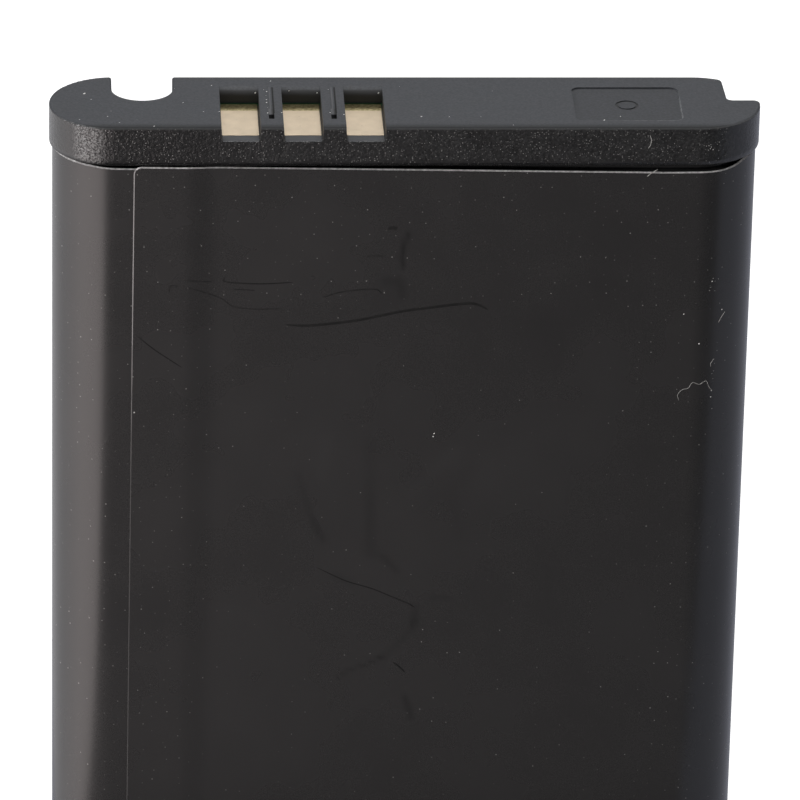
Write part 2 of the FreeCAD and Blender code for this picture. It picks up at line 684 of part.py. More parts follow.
# Film label: one strip round the cell that climbs over its own first end and stops at the seam. It went on a
# little askew, so its upper edge falls to the right and the seam leans, and its free corner is rounded.
def wrap_film():
    thickness = value("Sizes.film_thickness")
    inside = value(f"{CELL_RADIUS} + Sizes.glue_line")
    outside = inside + thickness
    lap_inside = outside + value("Sizes.glue_line")
    lap_outside = lap_inside + thickness
    seam = value(SEAM_X)
    hidden_end = seam + value("Sizes.seam_overlap")
    ramp_start = hidden_end + value("Sizes.film_corner")
    ramp_end = ramp_start + value("Sizes.seam_ramp")
    foot = value("Sizes.base_height + Sizes.film_gap")
    top = value(f"{FLANGE_FOOT} - Sizes.film_gap")
    skew = value("Sizes.film_skew")
    seam_lean = value("Sizes.seam_lean")
    full_height = value("Sizes.pack_length")
    lean = full_height * math.tan(math.radians(abs(seam_lean))) + thickness
    lap = [
        point(ramp_end, -outside),
        point(ramp_start, -lap_outside),
        point(seam - lean, -lap_outside),
        point(seam - lean, -lap_inside),
        point(ramp_start, -lap_inside),
        point(ramp_end, -inside),
    ]
    edges = film_turn(outside, hidden_end, ramp_end) + film_turn(inside, hidden_end, ramp_end)
    edges += [Part.LineSegment(start, end).toShape() for start, end in zip(lap, lap[1:])]
    edges.append(Part.LineSegment(point(hidden_end, -outside), point(hidden_end, -inside)).toShape())
    section = Part.Face(Part.Wire(Part.sortEdges(edges)[0]))
    section.translate(point(0, 0, foot))
    sleeve = section.extrude(point(0, 0, full_height))
    # The label's upper edge and its seam turn about the corner where they meet
    corner_place = point(seam, 0, top)
    front_axis = point(0, 1, 0)
    upper_edge_frame = FreeCAD.Placement(corner_place, FreeCAD.Rotation(front_axis, skew))
    seam_frame = FreeCAD.Placement(corner_place, FreeCAD.Rotation(front_axis, seam_lean))
    width = value("Sizes.cap_width")
    above = Part.makeBox(4 * width, 2 * width, full_height, point(-2 * width, -width, 0))
    above.Placement = upper_edge_frame
    sleeve = sleeve.cut(above)
    lap_face = (outside + lap_inside) / 2
    lap_cover = Part.makeBox(2 * width, width, 2 * full_height, point(0, -width, -2 * full_height))
    corner = [edge for edge in lap_cover.Edges
              if abs(edge.CenterOfMass.x) < TOUCH and abs(edge.CenterOfMass.z) < TOUCH]
    lap_cover = lap_cover.makeFillet(value("Sizes.film_corner"), corner)
    lap_cover.Placement = seam_frame
    lap_zone = Part.makeBox(ramp_start - seam + width, width - lap_face, full_height,
                            point(seam - width, -width, 0))
    film = doc.addObject("Part::Feature", "wrap_film")
    film.Shape = sleeve.cut(lap_zone.cut(lap_cover))
    sub_parts.append(film)


base_end_cap()
base_tape()
cell_can()
terminal_gasket()
cell_terminal()
insulating_card()
positive_tab()
negative_tab()
thermal_fuse()
fuse_lead()
circuit_board()
contact_plates()
board_components()
contact_end_cap()
wrap_film()
doc.recompute()

for item in doc.Objects:
    if "Invalid" in item.State or "Error" in item.State:
        raise RuntimeError(f"{item.Label} did not compute: {item.State}")
for sub_part in sub_parts:
    if sub_part.Shape.isNull() or not sub_part.Shape.isValid():
        raise RuntimeError(f"{sub_part.Label} has no valid shape")

os.makedirs("parts", exist_ok=True)
for sub_part in sub_parts:
    sub_part.Shape.exportStep(os.path.join("parts", f"{sub_part.Label}.step"))
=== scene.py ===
import math

import bpy
import numpy as np
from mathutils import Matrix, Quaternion, Vector


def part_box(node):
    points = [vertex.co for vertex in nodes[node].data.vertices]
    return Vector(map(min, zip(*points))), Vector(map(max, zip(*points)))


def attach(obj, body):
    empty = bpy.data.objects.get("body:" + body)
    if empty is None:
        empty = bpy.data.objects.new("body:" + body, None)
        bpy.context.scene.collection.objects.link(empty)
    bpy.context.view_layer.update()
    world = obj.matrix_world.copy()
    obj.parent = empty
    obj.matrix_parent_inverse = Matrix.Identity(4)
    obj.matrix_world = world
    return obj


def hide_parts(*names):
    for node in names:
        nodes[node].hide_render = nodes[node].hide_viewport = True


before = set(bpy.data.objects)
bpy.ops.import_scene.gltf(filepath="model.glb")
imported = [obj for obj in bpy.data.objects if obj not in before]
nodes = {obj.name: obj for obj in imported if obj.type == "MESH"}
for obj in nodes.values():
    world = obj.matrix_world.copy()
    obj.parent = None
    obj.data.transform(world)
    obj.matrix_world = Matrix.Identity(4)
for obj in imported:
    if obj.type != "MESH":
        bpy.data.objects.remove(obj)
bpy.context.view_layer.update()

# Base cap: a plain plate that closes the foot of the pack, injection-moulded in black ABS from a mould with
# a spark-eroded face. Tape holds it to the cell, and the film goes round its plinth.
MM = 0.001
PLASTIC_DARK = (0.0010, 0.0010, 0.0011, 1)
PLASTIC_LIGHT = (0.0170, 0.0171, 0.0174, 1)
# Painted glints: pale specks on the grained walls that stand in for highlights
PAINTED_GLINT = (0.85, 0.83, 0.8, 1)
# Painted shade: near black in the recesses, towards the walls' foot and in the slits' pits; also the roof's
# dark pits
PAINTED_SHADE_AND_PIT_BLACK = (0.0018, 0.0018, 0.0019, 1)
MATT_DARK = (0.008, 0.0090, 0.0120, 1)
MATT_LIGHT = (0.028, 0.0302, 0.0355, 1)
MATT_CRUMB = (0.75, 0.75, 0.75, 1)
# Painted sheen on the left corner's walls and, fainter, left of them
CORNER_SHEEN_TONE = (0.15, 0.148, 0.147, 1)
CORNER_SHEEN = 0.12
CORNER_GRAIN = 0.1 * MM
SHEEN_LEVELS = (0.4, 0.64)
TONE_LOW = 0.36
MOTTLE_SHARE = 0.4
PLASTIC_GRAIN = 0.14 * MM
PLASTIC_MOTTLE = 1.6 * MM
NOISE_ROUGHNESS = 0.55
GRAIN_DEPTH = 0.09 * MM
WALL_GRAIN = (0.38, 0.88)
ROOF_GRAIN = 0.03
WALL_ROUGHNESS = (0.17, 0.29)
ROOF_ROUGHNESS = (0.48, 0.72)
OUTER_MARGIN = 0.1 * MM
ROOF_FADE = 0.08 * MM
PANEL_SINK = 0.06 * MM
COARSE_RIGHT = -15.85 * MM
COARSE_LEFT = -18.0 * MM
COARSE_FADE = 0.7 * MM
# Painted shade: the walls darker towards the left
DARKEN_RIGHT = -7 * MM
DARKEN_LEFT = -12 * MM
DARKEN_SHARE = 0.75
GLINT_START = -16.6 * MM
GLINT_END = 17.3 * MM
GLINT_FADE = 1.0 * MM
CLUSTER_LEVELS = (0.3, 0.65)
CLUSTER_LEAST = 0.3
FOOT_ROUND = 0.35 * MM
FOOT_DROP = 0.15 * MM

# Specks: the spacing of their lattice, then their radius and their share of its cells
GLINTS = (0.12 * MM, 0.28, 0.6)
ROOF_PITS = (0.45 * MM, 0.13, 0.9)
ROOF_DUST = (0.9 * MM, 0.035, 0.6)
SPECK_CORE = 0.55


def surface_of(finish):
    """The Principled shader of a finish."""
    return finish.node_tree.nodes["Principled BSDF"]


def new_finish(name, values):
    """Material with one Principled shader, whose constant sockets take their values from a dictionary."""
    finish = bpy.data.materials.new(name)
    finish.use_nodes = True
    for socket, value in values.items():
        surface_of(finish).inputs[socket].default_value = value
    return finish


def add_node(finish, kind, inputs, **settings):
    """Node of a finish: an input given as a socket is linked, and any other is set as a value."""
    tree = finish.node_tree
    node = tree.nodes.new(kind)
    for name, setting in settings.items():
        setattr(node, name, setting)
    for socket, value in inputs.items():
        if isinstance(value, bpy.types.NodeSocket):
            tree.links.new(value, node.inputs[socket])
        else:
            node.inputs[socket].default_value = value
    return node


def drive(finish, socket, source):
    """Links a source to a socket of the finish's shader."""
    finish.node_tree.links.new(source, surface_of(finish).inputs[socket])


def place(finish, stretch=(1, 1, 1)):
    """Object coordinates in metres, stretched along the axes."""
    inputs = {"Vector": add_node(finish, "ShaderNodeTexCoord", {}).outputs["Object"], "Scale": stretch}
    return add_node(finish, "ShaderNodeMapping", inputs).outputs["Vector"]


def axes(finish, where):
    """The x, y and z of a place."""
    split = add_node(finish, "ShaderNodeSeparateXYZ", {"Vector": where})
    return split.outputs["X"], split.outputs["Y"], split.outputs["Z"]


def noise(finish, vector, size, detail=2.0):
    """Soft noise from 0 to 1 whose lumps are about a size in metres."""
    inputs = {"Vector": vector, "Scale": 1 / size, "Detail": detail, "Roughness": NOISE_ROUGHNESS}
    return add_node(finish, "ShaderNodeTexNoise", inputs).outputs["Fac"]


def calc(finish, operation, first, second=0.0):
    """One step of arithmetic on two sources or numbers."""
    node = add_node(finish, "ShaderNodeMath", {0: first, 1: second}, operation=operation)
    return node.outputs["Value"]


def times(finish, first, *others):
    """Product of sources or numbers."""
    for other in others:
        first = calc(finish, "MULTIPLY", first, other)
    return first


def rest_of(finish, share):
    """1 less a share."""
    return calc(finish, "SUBTRACT", 1.0, share)


def between(finish, share, low, high):
    """Number between two numbers: the share times their difference, added to the low one."""
    return calc(finish, "ADD", times(finish, share, high - low), low)


def two_noises(finish, broad, fine, share):
    """Sum of two noises, the broad one times a share and the fine one times the rest of 1."""
    return calc(finish, "ADD", times(finish, broad, share), times(finish, fine, 1 - share))


def step_up(finish, source, low, high):
    """Smooth step: 0 below the first level, 1 above the second; levels in falling order turn it round."""
    inputs = {"Value": source, "From Min": low, "From Max": high}
    node = add_node(finish, "ShaderNodeMapRange", inputs, interpolation_type="SMOOTHSTEP", clamp=True)
    return node.outputs["Result"]


def colours(finish, factor, *stops):
    """Colour read from a ramp of (position, colour) stops."""
    node = add_node(finish, "ShaderNodeValToRGB", {"Fac": factor})
    ramp = node.color_ramp
    while len(ramp.elements) < len(stops):
        ramp.elements.new(1.0)
    for element, (position, colour) in zip(ramp.elements, stops):
        element.position = position
        element.color = colour
    return node.outputs["Color"]


def two_tones(finish, factor, dark, light, low=0.3):
    """Ramp from a dark to a light colour, as far from 0 as from 1."""
    return colours(finish, factor, (low, dark), (1 - low, light))


def mixed(finish, factor, first, second):
    """Colour between two colours or sockets, by a factor from 0 to 1."""
    node = add_node(finish, "ShaderNodeMix", {0: factor, 6: first, 7: second}, data_type="RGBA")
    return node.outputs[2]


def lattice_dots(finish, vector, spacing, radius, core, share, **settings):
    """Mask of round dots, and a chance from 0 to 1 for each: one dot in a share of the cells of a jittered
    lattice. The radius is of a cell, and the core, inside which a dot is full, of the radius."""
    inputs = {"Vector": vector, "Scale": 1 / spacing}
    cells = add_node(finish, "ShaderNodeTexVoronoi", inputs, **settings)
    chance = add_node(finish, "ShaderNodeSeparateColor", {"Color": cells.outputs["Color"]})
    dots = step_up(finish, cells.outputs["Distance"], radius, radius * core)
    there = calc(finish, "LESS_THAN", chance.outputs["Red"], share)
    return times(finish, dots, there), chance.outputs["Green"]


def specks(finish, vector, spacing, radius, share):
    """Mask of small dots, faint and strong: each is as strong as the square of its chance."""
    dots, chance = lattice_dots(finish, vector, spacing, radius, SPECK_CORE, share)
    return times(finish, dots, calc(finish, "POWER", chance, 2.0))


def raised(finish, height, depth):
    """Bumps the shader by a height from 0 to 1, over a depth in metres."""
    node = add_node(finish, "ShaderNodeBump", {"Height": height, "Distance": depth, "Strength": 1.0})
    drive(finish, "Normal", node.outputs["Normal"])


def outer_distance(finish, where, end_centre):
    """Distance in plan from the line between the two end centres: the root of the squares of y and of what x
    has beyond an end centre, added up. Gives x and z too."""
    x, y, z = axes(finish, where)
    beyond = calc(finish, "SUBTRACT", calc(finish, "ABSOLUTE", x), end_centre)
    beyond = calc(finish, "POWER", calc(finish, "MAXIMUM", beyond, 0.0), 2.0)
    return calc(finish, "SQRT", calc(finish, "ADD", beyond, times(finish, y, y))), x, z


def spark_eroded_plastic(name, high, matt_level, foot_level):
    """Black moulded plastic: grained, with painted glints, on the outer walls inside a box's highest corner,
    coarser at the left corner with a painted sheen there and fainter left of it, darker towards the left by
    painted shade, rounded towards its foot and darker there by painted shade, matt and dusty above a level
    in metres, and near black in its recesses by painted shade. The foot's rounding is a drop by the square
    of the way down."""
    finish = new_finish(name, {"Specular IOR Level": 0.48})
    where = place(finish)
    distance, along, height = outer_distance(finish, where, high.x - high.y)
    outer = step_up(finish, distance, high.y - 2 * OUTER_MARGIN, high.y - OUTER_MARGIN)
    sunk = times(finish, rest_of(finish, outer), PANEL_SINK)
    roof = step_up(finish, calc(finish, "ADD", height, sunk), matt_level - ROOF_FADE, matt_level)
    wall = times(finish, outer, rest_of(finish, roof))
    grain = noise(finish, where, PLASTIC_GRAIN)
    mottle = noise(finish, where, PLASTIC_MOTTLE, detail=4.0)
    tone = two_noises(finish, mottle, grain, MOTTLE_SHARE)
    left_fade = step_up(finish, along, COARSE_LEFT, COARSE_LEFT + COARSE_FADE)
    coarse = times(finish, step_up(finish, along, COARSE_RIGHT, COARSE_RIGHT - COARSE_FADE), left_fade)
    # Painted sheen: grainy at the left corner, even and fainter left of it
    corner_sheen = times(finish, coarse, step_up(finish, noise(finish, where, CORNER_GRAIN), *SHEEN_LEVELS))
    corner_sheen = calc(finish, "MAXIMUM", corner_sheen, times(finish, rest_of(finish, left_fade), CORNER_SHEEN))
    # Painted shade towards the foot, over the last stretch above it; the same share rounds the foot by the
    # bump
    down = calc(finish, "DIVIDE", calc(finish, "SUBTRACT", foot_level + FOOT_ROUND, height), FOOT_ROUND)
    down = calc(finish, "MINIMUM", calc(finish, "MAXIMUM", down, 0.0), 1.0)
    black = two_tones(finish, tone, PLASTIC_DARK, PLASTIC_LIGHT, TONE_LOW)
    # Painted shade: the walls darker towards the left
    left_darkening = times(finish, step_up(finish, along, DARKEN_RIGHT, DARKEN_LEFT), DARKEN_SHARE)
    black = mixed(finish, left_darkening, black, PLASTIC_DARK)
    black = mixed(finish, down, mixed(finish, corner_sheen, black, CORNER_SHEEN_TONE), PAINTED_SHADE_AND_PIT_BLACK)
    dusty = two_tones(finish, tone, MATT_DARK, MATT_LIGHT, TONE_LOW)
    # Painted shade: the recesses inside the outer walls take the near-black colour
    body = mixed(finish, roof, mixed(finish, outer, PAINTED_SHADE_AND_PIT_BLACK, black), dusty)
    cluster = step_up(finish, noise(finish, where, PLASTIC_MOTTLE / 2), *CLUSTER_LEVELS)
    cluster = times(finish, between(finish, cluster, CLUSTER_LEAST, 1.0), wall,
                    step_up(finish, along, GLINT_END, GLINT_END - GLINT_FADE),
                    step_up(finish, along, GLINT_START, GLINT_START + GLINT_FADE), rest_of(finish, down))
    # Painted glints: pale specks in clusters on the walls, away from the ends and the foot
    body = mixed(finish, times(finish, specks(finish, where, *GLINTS), cluster), body, PAINTED_GLINT)
    body = mixed(finish, times(finish, specks(finish, where, *ROOF_PITS), roof), body, PAINTED_SHADE_AND_PIT_BLACK)
    body = mixed(finish, times(finish, specks(finish, where, *ROOF_DUST), roof), body, MATT_CRUMB)
    drive(finish, "Base Color", body)
    even = between(finish, grain, *WALL_ROUGHNESS)
    matt = between(finish, mottle, *ROOF_ROUGHNESS)
    drive(finish, "Roughness", mixed(finish, wall, matt, even))
    depth = times(finish, wall, between(finish, coarse, *WALL_GRAIN))
    depth = calc(finish, "ADD", depth, ROOF_GRAIN)
    drop = times(finish, down, down, FOOT_DROP / GRAIN_DEPTH, outer)
    raised(finish, calc(finish, "SUBTRACT", times(finish, grain, depth), drop), GRAIN_DEPTH)
    return finish


def dress(node, finish):
    """Gives a CAD node its finish."""
    nodes[node].data.materials.clear()
    nodes[node].data.materials.append(finish)


# The matt level and the foot lie outside the base cap, so that all its outside is grained wall
base_low, base_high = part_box("base_end_cap")
base_plastic = spark_eroded_plastic("base_cap_plastic", base_high, base_high.z + MM, base_low.z - MM)
dress("base_end_cap", base_plastic)

# Base tape: the double-sided tape that joins the base cap to the cell. It is white foam with adhesive on
# both faces, cut with rounded ends and pressed on.
FOAM_DARK = (0.66, 0.66, 0.64, 1)
FOAM_LIGHT = (0.8, 0.8, 0.78, 1)
FOAM_CELL = 0.12 * MM
FOAM_DEPTH = 0.03 * MM


def grained(name, values, size, dark, light, depth=0.0, stretch=(1, 1, 1), detail=2.0, low=0.3, rough=None):
    """Finish in two tones by a noise, whose lumps have a size in metres and are drawn out along an axis that
    has a stretch below 1. A depth raises the noise, and at two levels of it the roughness is 0 and 1."""
    finish = new_finish(name, values)
    grain = noise(finish, place(finish, stretch), size, detail)
    drive(finish, "Base Color", two_tones(finish, grain, dark, light, low))
    if rough:
        drive(finish, "Roughness", step_up(finish, grain, *rough))
    if depth:
        raised(finish, grain, depth)
    return finish


tape_foam = grained("tape_foam", {"Roughness": 0.85}, FOAM_CELL, FOAM_DARK, FOAM_LIGHT, FOAM_DEPTH)
dress("base_tape", tape_foam)

# Cell: the sealed lithium-ion cell, in a can drawn from aluminium sheet with its lid welded on. Drawing
# leaves fine upright lines on its walls.
CAN_DARK = (0.7, 0.71, 0.72, 1)
CAN_LIGHT = (0.8, 0.81, 0.82, 1)
DRAW_LINE = 0.06 * MM
DRAW_DEPTH = 0.002 * MM
DRAW_STRETCH = (1, 1, 0.02)
DRAW_ROUGHNESS = (-0.4, 1.4)
can_metal = grained("drawn_aluminium", {"Metallic": 1.0}, DRAW_LINE, CAN_DARK, CAN_LIGHT, DRAW_DEPTH,
                    DRAW_STRETCH, rough=DRAW_ROUGHNESS)
dress("cell_can", can_metal)

# Terminal: a nickel-plated rivet in the middle of the lid, in a gasket of natural nylon that keeps it apart
# from the can. It is clinched over from above.
NICKEL_DARK = (0.62, 0.6, 0.56, 1)
NICKEL_LIGHT = (0.74, 0.72, 0.68, 1)
ROLL_LINE = 0.05 * MM
ROLL_DEPTH = 0.002 * MM
NICKEL_ROUGHNESS = (-0.5, 1.5)
NYLON_DARK = (0.7, 0.7, 0.66, 1)
NYLON_LIGHT = (0.82, 0.82, 0.78, 1)
NYLON_CLOUD = 0.5 * MM


def nickel_finish(name, stretch):
    """Nickel with rolling lines along the axis that is stretched."""
    return grained(name, {"Metallic": 1.0}, ROLL_LINE, NICKEL_DARK, NICKEL_LIGHT, ROLL_DEPTH, stretch,
                   rough=NICKEL_ROUGHNESS)


dress("cell_terminal", nickel_finish("rivet_nickel", (1, 1, 1)))
gasket_nylon = grained("gasket_nylon", {"Roughness": 0.5, "Subsurface Weight": 0.1}, NYLON_CLOUD,
                       NYLON_DARK, NYLON_LIGHT)
dress("terminal_gasket", gasket_nylon)

# Insulating card: the strip of pressed fibre board that covers the lid. It is stamped out with clearance for
# the terminal and for a strip.
PRESSED_DARK = (0.62, 0.58, 0.46, 1)
PRESSED_LIGHT = (0.78, 0.75, 0.64, 1)
PRESSED_FIBRE = 0.08 * MM
PRESSED_DEPTH = 0.01 * MM
PRESSED_STRETCH = (0.3, 1, 1)
pressed_card = grained("fibre_card", {"Roughness": 0.9}, PRESSED_FIBRE, PRESSED_DARK, PRESSED_LIGHT,
                       PRESSED_DEPTH, PRESSED_STRETCH, detail=4.0)
dress("insulating_card", pressed_card)

# Strips: three strips of rolled nickel that lead from the lid and the rivet to the fuse and the board. They
# are bent to shape and spot-welded.
STRIP_STRETCH = (0.03, 1, 1)
strip_nickel = nickel_finish("rolled_nickel", STRIP_STRETCH)
for strip in ("positive_tab", "negative_tab", "fuse_lead"):
    dress(strip, strip_nickel)

# Thermal fuse: the cut-out that opens if the cell gets hot. It is a black moulded case with a flat nickel
# stub at each end, laid on the card.
FUSE_TONES = ((0.05, 0.05, 0.055, 1), (0.075, 0.075, 0.08, 1))
FUSE_ROUGHNESS = 0.55
MOULD_GRAIN = 0.05 * MM
MOULD_DEPTH = 0.004 * MM


def moulded_chip(name, tones, rough):
    """Moulded or fired component body with a fine even grain, in two tones."""
    return grained(name, {"Roughness": rough}, MOULD_GRAIN, *tones, MOULD_DEPTH)


dress("thermal_fuse", moulded_chip("fuse_case", FUSE_TONES, FUSE_ROUGHNESS))

# Protection board: glass-epoxy laminate under green solder resist. In front of the contacts' back edge the
# board is dark brown, a painted shade beside the contacts, and green behind them. The board is held close
# under the contact cap's roof.
RESIST_DARK = (0.012, 0.075, 0.03, 1)
RESIST_LIGHT = (0.03, 0.13, 0.055, 1)
PLATE_SIDE_SHADE = (0.035, 0.028, 0.016, 1)
PLATE_SIDE_FADE = 0.1 * MM
WEAVE = 0.25 * MM
WEAVE_DEPTH = 0.003 * MM
plate_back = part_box("contact_plate_left")[1].y
resist = new_finish("green_solder_resist", {"Roughness": 0.35})
resist_place = place(resist)
weave = noise(resist, resist_place, WEAVE)
# Painted shade: dark brown in front of the plates' back edge, beside the plates
resist_shaded = step_up(resist, axes(resist, resist_place)[1], plate_back, plate_back - PLATE_SIDE_FADE)
resist_green = two_tones(resist, weave, RESIST_DARK, RESIST_LIGHT)
drive(resist, "Base Color", mixed(resist, resist_shaded, resist_green, PLATE_SIDE_SHADE))
raised(resist, weave, WEAVE_DEPTH)
dress("circuit_board", resist)

# Contacts: three copper plates on the board, plated with nickel and a thin champagne-coloured gold, lightly
# rubbed by the spring contacts that press on them. A brown band across their back is a painted shadow of
# the windows' back walls.
GOLD_WORN = (0.58, 0.475, 0.345, 1)
GOLD_FRESH = (0.66, 0.545, 0.40, 1)
GOLD_PIT_TONE = (0.2, 0.14, 0.08, 1)
GOLD_PITS = (0.3 * MM, 0.14, 0.25)
GOLD_CLOUD = 0.7 * MM
GOLD_GRAIN = 0.03 * MM
GOLD_DEPTH = 0.0008 * MM
GOLD_ROUGHNESS = (0.3, 0.4)
# Painted shadow of the window's back wall: a mottled brown band along the plates' back
PLATE_SHADOW_DARK = (0.22, 0.18, 0.08, 1)
PLATE_SHADOW_LIGHT = (0.52, 0.45, 0.25, 1)
PLATE_SHADOW_LOW = 0.32
PLATE_SHADOW_SPOT = 0.16 * MM
PLATE_SHADOW_LENGTH = 0.88 * MM
PLATE_SHADOW_FADE = 0.05 * MM
gold = new_finish("contact_gold", {"Metallic": 1.0})
gold_place = place(gold)
gold_grain = noise(gold, gold_place, GOLD_GRAIN)
gold_body = two_tones(gold, noise(gold, gold_place, GOLD_CLOUD, detail=4.0), GOLD_WORN, GOLD_FRESH)
gold_back = axes(gold, gold_place)[1]
# Painted shadow: the band reaches this far in front of the plates' back edge
plate_shadow_edge = plate_back - PLATE_SHADOW_LENGTH
gold_shadow = step_up(gold, gold_back, plate_shadow_edge - PLATE_SHADOW_FADE, plate_shadow_edge + PLATE_SHADOW_FADE)
shadow_spots = noise(gold, gold_place, PLATE_SHADOW_SPOT)
shadow_tone = two_tones(gold, shadow_spots, PLATE_SHADOW_DARK, PLATE_SHADOW_LIGHT, PLATE_SHADOW_LOW)
gold_body = mixed(gold, gold_shadow, gold_body, shadow_tone)
gold_pits = specks(gold, gold_place, *GOLD_PITS)
drive(gold, "Base Color", mixed(gold, gold_pits, gold_body, GOLD_PIT_TONE))
drive(gold, "Roughness", between(gold, gold_grain, *GOLD_ROUGHNESS))
raised(gold, gold_grain, GOLD_DEPTH)
for side in ("left", "middle", "right"):
    dress(f"contact_plate_{side}", gold)

# Protection circuit: two moulded chips, and fired ceramic resistors, capacitors and a thermistor, all of
# them soldered to the board's underside.
CHIP_TONES = ((0.02, 0.02, 0.021, 1), (0.035, 0.035, 0.036, 1))
CHIP_ROUGHNESS = 0.6
GLAZE_TONES = ((0.03, 0.03, 0.032, 1), (0.06, 0.06, 0.062, 1))
GLAZE_ROUGHNESS = 0.3
FIRED_TONES = ((0.34, 0.22, 0.13, 1), (0.45, 0.31, 0.2, 1))
FIRED_ROUGHNESS = 0.5
chip_case = moulded_chip("chip_case", CHIP_TONES, CHIP_ROUGHNESS)
resistor_glaze = moulded_chip("resistor_glaze", GLAZE_TONES, GLAZE_ROUGHNESS)
capacitor_body = moulded_chip("capacitor_body", FIRED_TONES, FIRED_ROUGHNESS)
for chip in ("switch_chip", "protection_chip"):
    dress(chip, chip_case)
for chip in ("chip_resistor_1", "chip_resistor_2", "chip_resistor_3", "thermistor"):
    dress(chip, resistor_glaze)
for chip in ("chip_capacitor_1", "chip_capacitor_2"):
    dress(chip, capacitor_body)

# Contact cap: the moulded end that carries the contacts, in the base cap's plastic, with a matt roof and
# spark-eroded walls with painted glints. Its skirt stands on the cell's lid, and the film holds it.
FLANGE_HEIGHT = 2.22 * MM
FLANGE_MARGIN = 0.01 * MM
ROOF_MARGIN = 0.02 * MM
PANEL_CENTRE = (11.84 * MM, -0.235 * MM)
PANEL_HALF = (2.86 * MM, 2.21 * MM)
PANEL_ROUND = 0.45 * MM
PANEL_SHARE = 0.16
# Painted highlight on the panel's rim
RIM_LINE_HALF = 0.055 * MM
RIM_LINE_CORE = 0.3
RIM_LEAN = (-0.1, 1.3)
RIM_PATCH = 0.3 * MM
PATCH_LEVELS = (0.25, 0.6)
RIM_HIGHLIGHT_TONE = (0.12, 0.124, 0.130, 1)
SLIT_MIDDLES = (-7.19 * MM, -3.87 * MM)
SLIT_FRONT = -1.5 * MM
SLIT_BACK = 2.1 * MM
# Painted highlight along the slits' left flanks
SLIT_HIGHLIGHT_TONE = (0.055, 0.057, 0.062, 1)
LINE_CORE = 0.5
LINE_BACK_FADE = 4
# Painted light inside the slits' pits, lighter than the plastic
PIT_LIGHT_TONE = (0.07, 0.071, 0.074, 1)
PIT_LENGTH = 0.8 * MM
PIT_HALF = 0.16 * MM
PIT_MARGIN = 0.01 * MM
PIT_DEPTH = 0.05 * MM
SILL_DEPTH = 0.81 * MM
SILL_ENDS = (-10.5 * MM, -0.5 * MM)
SILL_GAPS = (0.03 * MM, 0.02 * MM)
SILL_SKIN = 0.03 * MM
SILL_TONE = (0.040, 0.041, 0.043, 1)
EDGE_FROM = -2.75 * MM
EDGE_DEPTH = 0.2 * MM
EDGE_SHARE = 0.8
SHADE_TONE = (0.0062, 0.0063, 0.0064, 1)
SHADE_DULLING = 0.4
GAP_ROUGHNESS = 0.22

# Lines along the slits: an offset to the right of their middles and a half width
SLIT_SHADOW = (0.13 * MM, 0.06 * MM)
PIT_SHADOW = (0.08 * MM, 0.12 * MM)
SLIT_GLOW = (-0.03 * MM, 0.045 * MM)

cap_low, cap_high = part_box("contact_end_cap")
flange_foot = cap_high.z - FLANGE_HEIGHT
cap_plastic = spark_eroded_plastic("contact_cap_plastic", cap_high, cap_high.z - ROOF_MARGIN, flange_foot)
cap_place = place(cap_plastic)
cap_x, cap_y, cap_z = axes(cap_plastic, cap_place)


def source_of(finish, socket):
    """What is linked to a socket of the finish's shader."""
    return surface_of(finish).inputs[socket].links[0].from_socket


def painted_rim_highlight():
    """Painted highlight: a pale line on the rim of the cap's panel, strongest at its right and front, and
    the panel's floor: the line shows where the distance to a box with round corners, by the length of what
    lies beyond the corner centres, is near zero, and the floor where it is below."""
    sides = [calc(cap_plastic, "SUBTRACT", axis, centre)
             for axis, centre in zip((cap_x, cap_y), PANEL_CENTRE)]
    beyond = [calc(cap_plastic, "SUBTRACT", calc(cap_plastic, "ABSOLUTE", side), half - PANEL_ROUND)
              for side, half in zip(sides, PANEL_HALF)]
    outside = [calc(cap_plastic, "POWER", calc(cap_plastic, "MAXIMUM", part, 0.0), 2.0) for part in beyond]
    reach = calc(cap_plastic, "SQRT", calc(cap_plastic, "ADD", *outside))
    inside = calc(cap_plastic, "MINIMUM", calc(cap_plastic, "MAXIMUM", *beyond), 0.0)
    gap = calc(cap_plastic, "SUBTRACT", calc(cap_plastic, "ADD", reach, inside), PANEL_ROUND)
    line = step_up(cap_plastic, calc(cap_plastic, "ABSOLUTE", gap), RIM_LINE_HALF, RIM_LINE_HALF * RIM_LINE_CORE)
    lean = [calc(cap_plastic, "DIVIDE", side, half) for side, half in zip(sides, PANEL_HALF)]
    lean = step_up(cap_plastic, calc(cap_plastic, "SUBTRACT", *lean), *RIM_LEAN)
    patchy = step_up(cap_plastic, noise(cap_plastic, cap_place, RIM_PATCH), *PATCH_LEVELS)
    return times(cap_plastic, line, lean, patchy), step_up(cap_plastic, gap, 0.0, -RIM_LINE_HALF)


def slit_gap(offset):
    """Distance in x from a line at an offset to the right of the nearer slit's middle."""
    gaps = [calc(cap_plastic, "ABSOLUTE", calc(cap_plastic, "SUBTRACT", cap_x, middle + offset))
            for middle in SLIT_MIDDLES]
    return calc(cap_plastic, "MINIMUM", *gaps)


def slit_line(offset, half):
    """Line along both slits, at an offset to the right of their middles: it shows where its gap is less than
    a half width, between the slits' ends."""
    line = step_up(cap_plastic, slit_gap(offset), half, half * LINE_CORE)
    ahead = step_up(cap_plastic, cap_y, SLIT_FRONT, SLIT_FRONT + half)
    behind = step_up(cap_plastic, cap_y, SLIT_BACK, SLIT_BACK - LINE_BACK_FADE * half)
    return times(cap_plastic, line, times(cap_plastic, ahead, behind))


